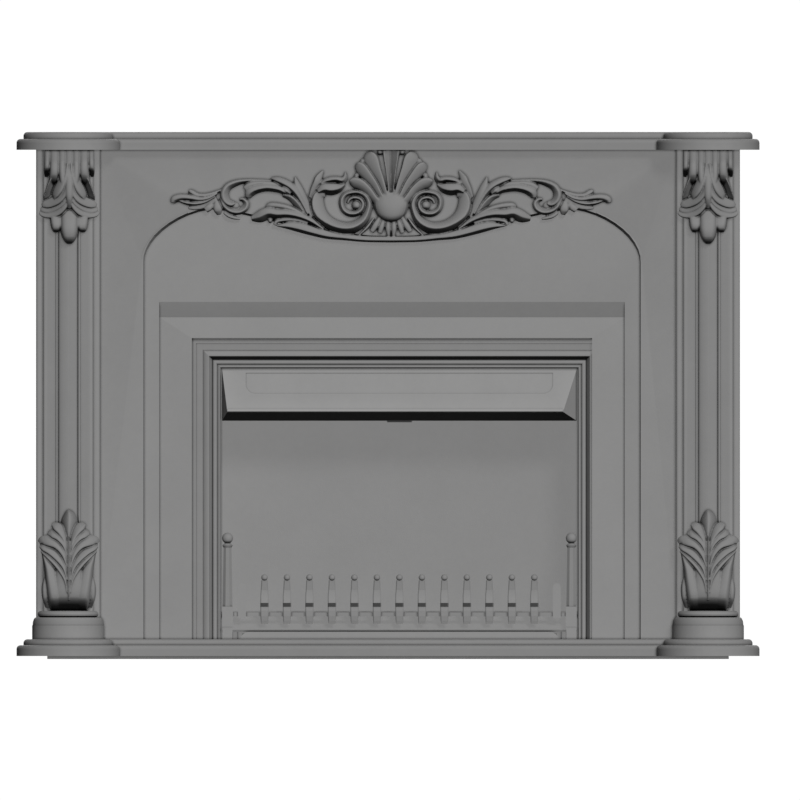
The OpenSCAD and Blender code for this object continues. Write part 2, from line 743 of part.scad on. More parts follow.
// Acanthus leaf over the plinth: it curls under at the foot and opens upwards to three lobes
module foot_carving() {
    stroke([
        [0, 0, 39, 16], [0, 13, 43, 32], [0, 37, 47, 44], [0, 72, 49, 46], [0, 102, 54, 41],
        [0, 120, 57, 37], [0, 142, 59, 33], [0, 160, 50, 29], [0, 176, 32, 24]
    ], 1, 8);
    stroke([[0, 146, 12, 30], [0, 168, 17, 40], [0, 187, 15, 36], [0, 202, 5, 12]], 2, 6);
    stroke([[0, 12, 4, 34], [0, 70, 5, 51], [0, 136, 4, 42]], 2, 3);
    both_sides() {
        stroke([[18, 148, 10, 30], [23, 164, 13, 34], [26, 178, 6, 14]]);
        stroke([
            [7, 40, 5, 46], [12, 80, 6, 50], [24, 115, 8, 44], [42, 140, 8, 37], [57, 150, 4, 22]
        ], 1);
        stroke([
            [16, 28, 5, 40], [24, 65, 6, 47], [36, 95, 8, 41], [50, 118, 7, 31], [59, 126, 3, 18]
        ], 1);
        stroke([[36, 14, 5, 22], [40, 50, 6, 32], [44, 88, 5, 28], [52, 106, 3, 16]], 1);
        stroke([[45, 22, 4, 12], [50, 44, 6, 22], [49, 66, 3, 10]], 1);
    }
}

module corbel_leaf(side) {
    iron() translate([side * pilaster_x, -column_f, body_top])
        resize([corbel_w, corbel_relief, corbel_h]) corbel_carving();
}

module foot_leaf(side) {
    iron() translate([side * pilaster_x, -column_f, foot_z])
        resize([foot_w, foot_relief, foot_h]) foot_carving();
}

module left_corbel_leaf() corbel_leaf(-1);
module right_corbel_leaf() corbel_leaf(1);
module left_foot_leaf() foot_leaf(-1);
module right_foot_leaf() foot_leaf(1);

// ---------- infill and slips ----------

// Plate behind the opening, returned inwards round its hole, with the raked band under the head
module infill_panel() {
    half = opening_half + infill_lap;
    top = body_top - crown_drop + infill_lap;
    back_f = infill_f - infill_t;
    iron() translate([opening_x, 0, 0]) {
        plate(back_f, infill_f) difference() {
            translate([-half, hearth_z]) square([2 * half, top - hearth_z]);
            translate([-infill_half, hearth_z - 1])
                square([2 * infill_half, infill_hole_top - hearth_z + 1]);
        }
        both_sides()
            block(infill_half, infill_half + infill_t, slip_back_f, back_f, hearth_z, infill_hole_top);
        run_x(-infill_half, infill_half, [
            [back_f, infill_hole_top], [infill_f, infill_hole_top],
            [slip_f, slip_top_z], [slip_back_f, slip_top_z]
        ]);
    }
}

// Section of a slip as [depth, place], rising from its outer edge to its inner edge
function slip_section(outer, inner) =
    [[slip_back_f, outer], [slip_f, outer], [slip_f + slip_lift, inner], [slip_back_f, inner]];

// Slips meet in mitres at the two upper corners
module top_slip() {
    iron() translate([opening_x, 0, 0]) intersection() {
        run_x(-infill_half, infill_half, slip_section(slip_top_z, slip_low_z));
        plate(slip_back_f, slip_f + slip_lift) polygon([
            [-infill_half, slip_top_z], [infill_half, slip_top_z],
            [slip_half, slip_low_z], [-slip_half, slip_low_z]
        ]);
    }
}

module side_slip(side) {
    iron() translate([opening_x, 0, 0]) scale([side, 1, 1]) intersection() {
        translate([0, 0, hearth_z]) linear_extrude(slip_top_z - hearth_z)
            polygon([for (p = slip_section(infill_half, slip_half)) [p[1], -p[0]]]);
        plate(slip_back_f, slip_f + slip_lift) polygon([
            [infill_half, slip_top_z], [infill_half, hearth_z],
            [slip_half, hearth_z], [slip_half, slip_low_z]
        ]);
    }
}

module left_slip() side_slip(-1);
module right_slip() side_slip(1);

// ---------- insert ----------

// Section of the insert frame as [distance out from the fire opening, depth]
function frame_section() =
    let (
        band_f = slip_back_f - 7,
        inner_f = band_f - 11,
        bead_x = inner_w + frame_bead_w,
        rise_x = bead_x + riser_w,
        ovolo_x = rise_x + ovolo_w,
        strip_x = ovolo_x + band_w,
        edge_w = 2,
        edge_rise = 5,
        bead_rise = 3,
        ovolo_rise = 4,
        groove_w = 1,
        strip_rise = 1.5,
        skin = 9
    )
    concat(
        [[0, frame_back_f], [0, inner_f - edge_rise], [edge_w, inner_f], [inner_w, inner_f - 2]],
        curve([inner_w, inner_f], [inner_w + 1, inner_f + bead_rise + 1],
            [bead_x - 2, inner_f + bead_rise], [bead_x, inner_f], 5),
        curve([rise_x, band_f + ovolo_rise], [rise_x + 2, band_f + ovolo_rise + 1],
            [ovolo_x - 3, band_f + 2], [ovolo_x, band_f - 1], 4),
        [[ovolo_x + groove_w, band_f - 1], [ovolo_x + groove_w, band_f], [strip_x, band_f]],
        [[strip_x, band_f + strip_rise], [frame_w, band_f + strip_rise - 0.5], [frame_w, slip_back_f]],
        [[frame_w + lap_w, slip_back_f], [frame_w + lap_w, slip_back_f - skin]],
        [[strip_x, band_f - skin], [rise_x, band_f - skin], [bead_x, frame_back_f]]
    );

// Moulded frame on three sides of the fire opening, mitred at its upper corners
module insert_frame() {
    section = frame_section();
    function ring(side, z0, rising) = [for (p = section)
        [side * (fire_half + p[0]), -p[1], rising ? z0 + p[0] : z0]];
    iron() translate([insert_x, 0, 0]) loft([
        ring(1, hearth_z, false), ring(1, fire_top, true),
        ring(-1, fire_top, true), ring(-1, hearth_z, false)
    ]);
}

// Wedge between the hood's top edge, lower front edge and lower back edge, t inside its faces
module hood_wedge(t) {
    run = hood_front_f - hood_top_f;
    drop = fire_h - hood_gap - hood_front_z;
    rise = hood_front_z - hood_back_z;
    top_z = fire_top - hood_gap - t * norm([run, drop]) / run;
    back_z = hearth_z + hood_back_z + t * norm([run, rise]) / run;
    reach = (top_z - back_z) * run / (drop + rise);
    top_half = fire_half - hood_gap - t;
    low_half = top_half - hood_taper * reach / run;
    low_x = -hood_shift * reach / run;
    function edge(x, half, f, z) = [[x + half, -f, z], [x - half, -f, z]];
    polyhedron(
        points = concat(
            edge(0, top_half, hood_top_f, top_z),
            edge(low_x, low_half, hood_top_f + reach, back_z + reach * rise / run),
            edge(0, top_half, hood_top_f, back_z)
        ),
        faces = [[0, 2, 3, 1], [2, 4, 5, 3], [0, 1, 5, 4], [0, 4, 2], [1, 3, 5]]
    );
}

// Outline of the hood's sunk panel with rounded lower corners, drawn on the hood's raked face
module hood_panel_outline() {
    corner_r = 20;
    margin = 40;
    half = hood_panel_half;
    rake = norm([hood_front_f - hood_top_f, fire_h - hood_gap - hood_front_z]);
    for (side = [-1, 1]) translate([side * (half - corner_r), margin + corner_r]) circle(corner_r);
    translate([-half, margin + corner_r]) square([2 * half, rake - 1.2 * margin - corner_r]);
    translate([corner_r - half, margin]) square([2 * (half - corner_r), 2 * corner_r]);
}

// Canopy over the fire, open behind, hung from the throat plate by a flange
module hood() {
    flange_f = -8;
    rake_angle = atan2(hood_front_f - hood_top_f, fire_h - hood_gap - hood_front_z);
    top_half = fire_half - hood_gap;
    lip_margin = 0.5;
    low_half = top_half - hood_taper - lip_margin;
    iron() translate([insert_x, 0, 0]) difference() {
        union() {
            hood_wedge(0);
            block(-top_half, top_half, flange_f, hood_top_f, throat_low - hood_t, throat_low);
            translate([0, -hood_front_f, hearth_z + hood_front_z]) rotate([-rake_angle, 0, 0])
                translate([-hood_shift - low_half, -hood_lip_rise, lip_margin])
                    cube([2 * low_half, hood_lip_rise + 1, hood_lip_h]);
        }
        translate([0, 0.01, 0]) hood_wedge(hood_t);
        translate([0, -hood_front_f, hearth_z + hood_front_z]) rotate([-rake_angle, 0, 0])
            translate([0, hood_panel_depth, 0]) rotate([90, 0, 0])
                linear_extrude(hood_panel_depth + 2) hood_panel_outline();
        hood_screw_places() translate([0, 0, -1]) cylinder(h = hood_t + 2, r = bolt_r + bolt_gap);
    }
}

module fireback() {
    iron() translate([insert_x, 0, 0]) block(-box_half - plate_t, box_half + plate_t,
        -back_reach, -firebox_depth, hearth_z, chamber_top);
}

module cheek(side) {
    x = side > 0 ? box_half : -box_half - plate_t;
    iron() translate([insert_x, 0, 0])
        block(x, x + plate_t, -firebox_depth, frame_back_f, hearth_z, chamber_top);
}

module left_cheek() cheek(-1);
module right_cheek() cheek(1);

// Plate over the fire with the throat slot, notched at both ends for the spindle's bearings
module throat_plate() {
    notch_half = bracket_w / 2 + 0.5;
    slot_d = flap_d / 2 + flap_gap;
    z0 = throat_low - 1;
    z1 = throat_low + plate_t + 1;
    iron() translate([insert_x, 0, 0]) difference() {
        block(-box_half, box_half, -firebox_depth, frame_back_f, throat_low, throat_low + plate_t);
        block(-slot_half, slot_half, damper_f - slot_d, damper_f + slot_d, z0, z1);
        for (side = [-1, 1]) translate([side * (slot_half + bracket_l / 2), 0, 0])
            block(-bracket_l / 2 - 4, bracket_l / 2 + 8,
                damper_f - notch_half, damper_f + notch_half, z0, z1);
        hood_screw_places() cylinder(h = hood_t + plate_t + 2, r = bolt_r + bolt_gap);
    }
}

// Bearing blocks seated in the notches, each with a flange on top of the throat plate
module spindle_brackets() {
    below = barrel_r + 3;
    flange_z = throat_low + plate_t;
    flange_out = 12;
    iron() translate([insert_x, 0, 0]) for (side = [-1, 1])
        translate([side * (slot_half + bracket_l / 2 + 2), 0, 0]) difference() {
            union() {
                block(-bracket_l / 2, bracket_l / 2, damper_f - bracket_w / 2, damper_f + bracket_w / 2,
                    spindle_z - below, flange_z + flange_t);
                block(-bracket_l / 2, bracket_l / 2, damper_f - bracket_w / 2 - flange_out,
                    damper_f + bracket_w / 2 + flange_out, flange_z, flange_z + flange_t);
            }
            rod_x(-bracket_l, bracket_l, damper_f, spindle_z, spindle_r + bearing_gap);
        }
}

// Top of the smoke chamber, with a round hole under the flue spigot
module flue_plate() {
    half = box_half + plate_t;
    iron() translate([insert_x, 0, 0]) difference() {
        block(-half, half, -back_reach, frame_back_f, chamber_top, chamber_top + plate_t);
        rod_z(0, flue_f, chamber_top - 1, chamber_top + plate_t + 1, flue_r);
    }
}

// Round flue spigot standing on the flue plate on a flange
module flue_spigot() {
    z = chamber_top + plate_t;
    iron() translate([insert_x, 0, 0]) difference() {
        union() {
            rod_z(0, flue_f, z, z + flue_h, flue_r + flue_wall);
            rod_z(0, flue_f, z, z + flange_t, flue_r + flue_wall + spigot_flange);
        }
        rod_z(0, flue_f, z - 1, z + flue_h + 1, flue_r);
    }
}

// Hollow base behind the hearth that carries the firebox
module firebox_base() {
    half = box_half + plate_t;
    iron() translate([insert_x, 0, 0]) difference() {
        block(-half, half, -back_reach, 0, 0, hearth_z);
        block(plate_t - half, half - plate_t, -firebox_depth, -plate_t, -1, hearth_z - plate_t);
    }
}

// Fire floor: raised plate with a ledged hole for the grate, apron sloping to the front, side walls
module fire_floor() {
    apron_half = fire_half - hood_gap;
    wall_in = pan_half + pan_side_gap;
    hole = grate_frame_half + grate_gap;
    ledge = 6;
    top = fire_floor_z;
    seat = top - plate_t / 2;
    iron() translate([insert_x, 0, 0]) {
        difference() {
            union() {
                block(-box_half, box_half, -firebox_depth, apron_back_f, top - plate_t, top);
                run_x(-apron_half, apron_half, [
                    [apron_back_f, top], [apron_back_f, top - plate_t],
                    [apron_f - 2, hearth_z + apron_z - plate_t / 2], [apron_f, hearth_z + apron_z]
                ]);
                for (side = [-1, 1]) translate([side * (wall_in + plate_t / 2), 0, 0])
                    block(-plate_t / 2, plate_t / 2, -firebox_depth, apron_back_f, hearth_z, top - plate_t);
            }
            block(-hole, hole, grate_f0 - grate_gap, grate_f1 + grate_gap, seat, top + 1);
            block(ledge - hole, hole - ledge, grate_f0 + ledge, grate_f1 - ledge,
                top - plate_t - 1, top + 1);
        }
    }
}

// Loose grate resting on the ledge of the fire floor
module bottom_grate() {
    pitch = 2 * (grate_frame_half - grate_rim) / grate_slots;
    bottom = fire_floor_z - plate_t / 2;
    iron() translate([insert_x, 0, 0]) difference() {
        block(-grate_frame_half, grate_frame_half, grate_f0, grate_f1, bottom, bottom + plate_t);
        for (i = [0:grate_slots - 1])
            translate([(i - (grate_slots - 1) / 2) * pitch, 0, 0])
                block(-slot_w / 2, slot_w / 2, grate_f0 + grate_rim, grate_f1 - grate_rim,
                    bottom - 1, bottom + plate_t + 1);
    }
}

// ---------- damper ----------

module damper_flap() {
    iron() translate([insert_x, 0, 0]) difference() {
        union() {
            block(-flap_half, flap_half, damper_f - flap_d / 2, damper_f + flap_d / 2,
                spindle_z - flap_t / 2, spindle_z + flap_t / 2);
            rod_x(-flap_half, flap_half, damper_f, spindle_z, barrel_r);
        }
        rod_x(-flap_half - 1, flap_half + 1, damper_f, spindle_z, spindle_r);
    }
}

module damper_spindle() {
    half = slot_half + bracket_l + 4;
    bright() translate([insert_x, 0, 0]) rod_x(-half, half, damper_f, spindle_z, spindle_r);
}

// Lever hanging from the barrel, with the crossbar that shows under the hood
module damper_lever() {
    tip = spindle_z - lever_l;
    bright() translate([insert_x, 0, 0]) {
        difference() {
            rod_z(0, damper_f, tip, spindle_z, lever_r);
            rod_x(-crossbar_half, crossbar_half, damper_f, spindle_z, barrel_r);
        }
        rod_x(-crossbar_half, crossbar_half, damper_f, tip, lever_r);
    }
}

// ---------- fire basket ----------

// One bar from its top down: it swells forward, is cut under and curls back at the foot
module fret_bar() {
    shape = [
        [0, 5, 0.76], [0.22, 4, 0.88], [0.34, 8, 1], [0.44, 12.5, 1], [0.52, 13.5, 1], [0.61, 6, 1],
        [0.7, 7, 1], [0.82, 6, 0.96], [0.93, 3.5, 0.9], [1, 1, 0.8]
    ];
    loft([for (p = shape)
        let (
            z = bar_z1 - p[0] * (bar_z1 - bar_z0),
            half = p[2] * bar_w / 2,
            edge = min(2, p[1] / 2)
        )
        [
            [half, 0, z], [half, edge - p[1], z], [half - edge, -p[1], z],
            [edge - half, -p[1], z], [-half, edge - p[1], z], [-half, 0, z]
        ]
    ]);
}

// Plain bar at each end of the fret, with a round top
module plain_bar() {
    half = bar_w / 2 - 0.5;
    low = bar_z0 + 12;
    top = bar_z1 - 6;
    plate(0, 5) {
        translate([-half, low]) square([2 * half, top - half - low]);
        translate([0, top - half]) circle(half);
    }
}

// Front of the basket: ball-topped bars and a plain bar at each end on one rail behind them
module basket_fret() {
    back_f = post_f - 6;
    end = (ball_bars + 1) / 2;
    rail_half = post_x - post_w / 2;
    iron() translate([insert_x, 0, hearth_z]) {
        for (i = [1 - end:end - 1]) translate([i * bar_pitch, -back_f, 0]) {
            fret_bar();
            translate([0, -3, bar_z1 + ball_r - 1]) sphere(ball_r);
        }
        for (side = [-1, 1]) translate([side * end * bar_pitch, -back_f, 0]) plain_bar();
        block(-rail_half, rail_half, back_f - rail_t, back_f, rail_z, rail_z + rail_h);
    }
}

// Post with square blocks, an eight-sided tapering shaft, a collar and a ball
module basket_post(side) {
    foot_w = post_w - 2;
    foot_h = 25;
    block_top = 66;
    shaft_top = 185;
    collar_w = 21;
    collar_h = 9;
    flats = 8;
    flat_d = 1 / cos(180 / flats);
    iron() translate([insert_x + side * post_x, -post_f, hearth_z]) {
        translate([-foot_w / 2, -foot_w / 2, 0]) cube([foot_w, foot_w, foot_h]);
        translate([-post_w / 2, -post_w / 2, foot_h]) cube([post_w, post_w, block_top - foot_h]);
        translate([0, 0, block_top]) rotate(180 / flats)
            cylinder(h = shaft_top - block_top, d1 = foot_w * flat_d, d2 = shaft_w * flat_d, $fn = flats);
        translate([0, 0, shaft_top]) cylinder(h = collar_h / 2, d1 = shaft_w, d2 = collar_w);
        translate([0, 0, shaft_top + collar_h / 2]) cylinder(h = collar_h / 2, d1 = collar_w, d2 = finial_r);
        translate([0, 0, shaft_top + collar_h + finial_r - 1]) sphere(finial_r);
    }
}

module left_basket_post() basket_post(-1);
module right_basket_post() basket_post(1);

// ---------- ash pan ----------

// Shallow sheet tray sliding on the hearth under the fire floor
module ash_pan() {
    half = pan_half - sheet_t;
    back_f = -firebox_depth + 20;
    z = hearth_z + pan_gap;
    iron() translate([insert_x, 0, 0]) difference() {
        block(-half, half, back_f, pan_front_f, z, z + pan_h - sheet_t);
        block(sheet_t - half, half - sheet_t, back_f + sheet_t, pan_front_f - sheet_t,
            z + sheet_t, z + pan_h);
    }
}

// Front of the ash pan, with its two upper corners rounded off
module ash_pan_front() {
    corner_h = pan_h - 1.5;
    z = hearth_z + pan_gap;
    corner = [for (a = [0:15:90]) [
        pan_half - pan_corner_w * (1 - cos(a)), z + pan_h - corner_h * (1 - sin(a))
    ]];
    iron() translate([insert_x, 0, 0]) plate(pan_front_f, pan_front_f + pan_front_t)
        polygon(concat([[-pan_half, z], [pan_half, z]], corner, mirrored(corner)));
}

// ---------- fixings ----------

module shelf_bolt_places() {
    for (side = [-1, 1], f = [shelf_bolt_f0, shelf_bolt_f1])
        translate([side * pilaster_x, -f, body_top - wall]) children();
}

module panel_bolt_places() {
    for (side = [-1, 1], up = panel_bolt_heights)
        translate([side * (panel_half - panel_t), -(infill_f - flange_depth / 2), hearth_z + up])
            rotate([0, side * 90, 0]) children();
}

module hood_screw_places() {
    for (side = [-1, 1]) translate([side * hood_screw_x, -hood_screw_f, throat_low - hood_t]) children();
}

// Strap across the back of a pilaster, bored for a wall bolt
module wall_straps() {
    half = pilaster_w / 2 - wall;
    iron() for (side = [-1, 1], up = [lug_low, lug_high]) translate([side * pilaster_x, 0, hearth_z + up])
        difference() {
            block(-half, half, 0, lug_t, -lug_h / 2, lug_h / 2);
            rod_f(0, 0, -1, lug_t + 1, lug_hole_r);
        }
}

// Bolts through the panel's flanges into the pilasters, with their nuts
module panel_bolts() {
    head = 5.5;
    bright() panel_bolt_places() {
        translate([0, 0, -head]) hex(bolt_r, head);
        cylinder(h = panel_t + wall + head + 4, r = bolt_r);
        translate([0, 0, panel_t + wall]) difference() {
            hex(bolt_r, head);
            translate([0, 0, -1]) cylinder(h = head + 2, r = bolt_r);
        }
    }
}

module shelf_bolts() {
    head = 5.5;
    bright() shelf_bolt_places() {
        translate([0, 0, -head]) hex(bolt_r, head);
        cylinder(h = wall + shelf_bolt_grip, r = bolt_r);
    }
}

module hood_screws() {
    head = 4;
    bright() translate([insert_x, 0, 0]) hood_screw_places() {
        translate([0, 0, -head]) hex(bolt_r, head);
        cylinder(h = hood_t + plate_t, r = bolt_r);
    }
}

shelf_top();
shelf_bed_moulding();
front_panel();
left_pilaster();
right_pilaster();
left_corbel_leaf();
right_corbel_leaf();
left_foot_leaf();
right_foot_leaf();
left_plinth();
right_plinth();
crest_ornament();
hearth_top();
hearth_slab();
base_strip();
infill_panel();
top_slip();
left_slip();
right_slip();
insert_frame();
hood();
fireback();
left_cheek();
right_cheek();
throat_plate();
spindle_brackets();
flue_plate();
flue_spigot();
firebox_base();
fire_floor();
bottom_grate();
damper_flap();
damper_spindle();
damper_lever();
basket_fret();
left_basket_post();
right_basket_post();
ash_pan();
ash_pan_front();
wall_straps();
panel_bolts();
shelf_bolts();
hood_screws();
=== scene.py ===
# %% [markdown]
# # A cast iron fireplace
# The packed model is the frame: every casting, bolt and moving part already stands at its
# real size and place. This notebook gives each casting its surface, and carves the ornament
# that a foundry's pattern maker would cut in wood: the crest and the four acanthus leaves.
# Lengths are in millimetres in the carving cells, and turned into metres where a mesh is made.

# %% Load the frame
import json
import math

import bmesh
import bpy
from mathutils import Matrix, Vector


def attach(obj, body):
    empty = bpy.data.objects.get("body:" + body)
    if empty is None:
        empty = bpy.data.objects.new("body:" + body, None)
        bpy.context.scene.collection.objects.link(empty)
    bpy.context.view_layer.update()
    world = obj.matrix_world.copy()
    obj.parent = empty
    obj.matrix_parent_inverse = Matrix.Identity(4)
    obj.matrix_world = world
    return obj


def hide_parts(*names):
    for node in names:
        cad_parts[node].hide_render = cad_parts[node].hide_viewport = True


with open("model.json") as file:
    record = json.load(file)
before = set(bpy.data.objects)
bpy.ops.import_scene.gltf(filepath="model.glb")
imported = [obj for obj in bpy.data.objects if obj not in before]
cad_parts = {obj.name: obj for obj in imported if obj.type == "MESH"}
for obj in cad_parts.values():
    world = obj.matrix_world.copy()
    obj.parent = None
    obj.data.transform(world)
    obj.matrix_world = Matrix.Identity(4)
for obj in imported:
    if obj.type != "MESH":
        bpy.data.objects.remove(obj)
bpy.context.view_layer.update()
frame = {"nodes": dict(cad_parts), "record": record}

MM = 0.001
nodes = frame["nodes"]

# %% [markdown]
# ## Camera
# The photograph is a straight front elevation with no perspective, so the camera is
# orthographic and level, square to the wall. Its scale comes from the shelf: 1500 mm of shelf
# fills 743 of the frame's 800 pixels.

# %% Camera
SHELF_WIDTH = 1500 * MM
SHELF_PIXELS = 743
FRAME_PIXELS = 800
AIM_X = 24.2 * MM
AIM_Z = 522.9 * MM
CAMERA_DISTANCE = 4.0

camera_data = bpy.data.cameras.new("elevation_camera")
camera_data.type = "ORTHO"
camera_data.ortho_scale = SHELF_WIDTH / SHELF_PIXELS * FRAME_PIXELS
camera = bpy.data.objects.new("elevation_camera", camera_data)
camera.location = (AIM_X, -CAMERA_DISTANCE, AIM_Z)
camera.rotation_euler = (math.radians(90), 0, 0)
bpy.context.scene.collection.objects.link(camera)
bpy.context.scene.camera = camera
bpy.context.scene.view_settings.view_transform = "Standard"
print("view is", round(camera_data.ortho_scale, 4), "m wide")

# %% [markdown]
# ## Light
# The photograph is lit from in front, a little to the right and above, with almost no fill, so
# faces that turn down or to the left go nearly black. A studio does this with one large key
# light and a weak surround. Most of the key's light is cast without shadows, as a ring of
# small lamps would, so the deep firebox stays readable. A wash from straight behind shows the
# back of the castings in other views; from the front only the topmost edges catch it.

# %% Lights
KEY_AZIMUTH = math.radians(14)
KEY_ELEVATION = math.radians(23)
KEY_SPREAD = 12
KEY_OPEN = 2.65
KEY_SHADOWED = 0.4
REAR_DIRECTION = Vector((0, 0.85, 0.53))
REAR_SPREAD = 25
REAR_WASH = 1.6
LAMP_DISTANCE = 3.0

key_direction = Vector((
    math.sin(KEY_AZIMUTH) * math.cos(KEY_ELEVATION),
    -math.cos(KEY_AZIMUTH) * math.cos(KEY_ELEVATION),
    math.sin(KEY_ELEVATION),
))


def sun(name, towards, strength, spread, shadows=True):
    """A distant lamp that shines from the direction `towards`."""
    data = bpy.data.lights.new(name, "SUN")
    data.energy = strength
    data.angle = math.radians(spread)
    data.use_shadow = shadows
    lamp = bpy.data.objects.new(name, data)
    lamp.rotation_euler = towards.to_track_quat("Z", "Y").to_euler()
    lamp.location = towards * LAMP_DISTANCE
    bpy.context.scene.collection.objects.link(lamp)


sun("key_open", key_direction, KEY_OPEN, KEY_SPREAD, shadows=False)
sun("key_shadowed", key_direction, KEY_SHADOWED, KEY_SPREAD)
sun("rear_wash", REAR_DIRECTION, REAR_WASH, REAR_SPREAD)
print("key light from", tuple(round(c, 2) for c in key_direction))

# %% [markdown]
# ## Shader maths in Python
# A material is a graph of nodes, but sums read better as sums. `Mask` wraps one socket and
# overloads the operators, so `1 - mask * 0.3` adds its Math nodes by itself. Any other node
# comes from `node`, which sets the node's options first and then its sockets: a socket is
# called by its name, or by i and its number where several share a name.

# %% A socket with operators
class Mask:
    """A number or colour in a node tree that Python's operators can work on."""

    def __init__(self, tree, socket=None):
        self.tree = tree
        self.socket = socket

    def node(self, kind, settings=None, output=0, **inputs):
        """Adds any node: its settings first, then its sockets' values or links."""
        new = self.tree.nodes.new(kind)
        for name, value in (settings or {}).items():
            setattr(new, name, value)
        for name, value in inputs.items():
            numbered = name[0] == "i" and name[1:].isdigit()
            socket = new.inputs[int(name[1:]) if numbered else name.replace("_", " ")]
            if isinstance(value, Mask):
                self.tree.links.new(value.socket, socket)
            else:
                socket.default_value = value
        return Mask(self.tree, new.outputs[output])

    def maths(self, operation, first, second):
        return self.node("ShaderNodeMath", {"operation": operation}, i0=first, i1=second)

    def __add__(self, other):
        return self.maths("ADD", self, other)

    def __sub__(self, other):
        return self.maths("SUBTRACT", self, other)

    def __rsub__(self, other):
        return self.maths("SUBTRACT", other, self)

    def __mul__(self, other):
        return self.maths("MULTIPLY", self, other)

    def __gt__(self, other):
        return self.maths("GREATER_THAN", self, other)

    def __pow__(self, other):
        return self.maths("POWER", self, other)

    __radd__ = __add__
    __rmul__ = __mul__


print("operators ready:", [name for name in vars(Mask) if name.startswith("__r")])

# %% [markdown]
# ## Backdrop
# The photograph has a plain white background. A white card could stand behind the object, but
# it would throw light back on the iron. So the world shows white to the camera alone, by Light
# Path, with a weak share for reflections and a trace of fill for everything else.

# %% World
FILL = 0.03
REFLECTED_SHARE = 0.12

world = bpy.data.worlds.new("studio")
bpy.context.scene.world = world
world.use_nodes = True
world.node_tree.nodes.clear()
air = Mask(world.node_tree)
seen = air.node("ShaderNodeLightPath", output="Is Camera Ray")
mirrored = air.node("ShaderNodeLightPath", output="Is Glossy Ray")
backdrop = air.node("ShaderNodeBackground", Color=(1, 1, 1, 1),
                    Strength=seen + mirrored * REFLECTED_SHARE + FILL)
world_output = world.node_tree.nodes.new("ShaderNodeOutputWorld")
world.node_tree.links.new(backdrop.socket, world_output.inputs["Surface"])
print("backdrop: fill", FILL, "and", REFLECTED_SHARE, "for reflections")

# %% [markdown]
# ## Floor
# The hearth stands on a white floor that keeps a soft shadow. Its paint is nearly white and
# glows a little where the camera sees it, and is dark for all other light, so that it throws
# next to nothing up at the faces that are turned down.

# %% Floor
FLOOR_REACH = 4.0
FLOOR_DROP = 0.5 * MM
WHITE_PAINT = (0.95, 0.95, 0.95, 1)
DARK_TO_LIGHT = (0.08, 0.08, 0.08, 1)
FLOOR_GLOW = 0.5

floor_mesh = bpy.data.meshes.new("studio_floor")
floor_sheet = bmesh.new()
bmesh.ops.create_grid(floor_sheet, x_segments=1, y_segments=1, size=FLOOR_REACH)
bmesh.ops.translate(floor_sheet, verts=floor_sheet.verts, vec=(0, 0, -FLOOR_DROP))
floor_sheet.to_mesh(floor_mesh)
floor_sheet.free()
floor = bpy.data.objects.new("studio_floor", floor_mesh)
bpy.context.scene.collection.objects.link(floor)

white = bpy.data.materials.new("white_floor")
white.use_nodes = True
floor_shader = white.node_tree.nodes["Principled BSDF"]
floor_shader.inputs["Roughness"].default_value = 0.9
floor_shader.inputs["Emission Strength"].default_value = FLOOR_GLOW
floor_paint = Mask(white.node_tree)
floor_seen = floor_paint.node("ShaderNodeLightPath", output="Is Camera Ray")
floor_tone = floor_paint.node("ShaderNodeMix", {"data_type": "RGBA"}, output=2,
                              i0=floor_seen, i6=DARK_TO_LIGHT, i7=WHITE_PAINT)
white.node_tree.links.new(floor_tone.socket, floor_shader.inputs["Base Color"])
white.node_tree.links.new(floor_seen.socket, floor_shader.inputs["Emission Color"])
floor_mesh.materials.append(white)
print("floor at z =", round(floor_mesh.vertices[0].co.z, 4))

# %% [markdown]
# ## Carving like a pattern maker
# A foundry pattern is carved from wood or wax: ridges and petals are laid over each other on
# a flat ground until they read as one leaf. `Carving` works the same way. A stroke is a grid
# bent along a path and raised to a ridge; it could also be a curve with a bevel, but a curve
# can't lean its ridge to one side as a leaf does. The strokes are then fused by a voxel
# remesh, which gives one closed skin with soft roots, as a casting has.

# %% Strokes on a flat ground
def smooth_rows(rows, step):
    """Points every `step` mm on a Catmull-Rom curve through the rows."""
    knots = [Vector(row) for row in rows]
    ends = [2 * knots[0] - knots[1], *knots, 2 * knots[-1] - knots[-2]]
    points = []
    for before, start, end, after in zip(ends, ends[1:], ends[2:], ends[3:]):
        count = max(2, round(math.dist(start[:2], end[:2]) / step))
        for index in range(count):
            t = index / count
            points.append(0.5 * (2 * start + (end - before) * t
                                 + (2 * before - 5 * start + 4 * end - after) * t ** 2
                                 + (3 * start - before - 3 * end + after) * t ** 3))
    return [*points, knots[-1]]


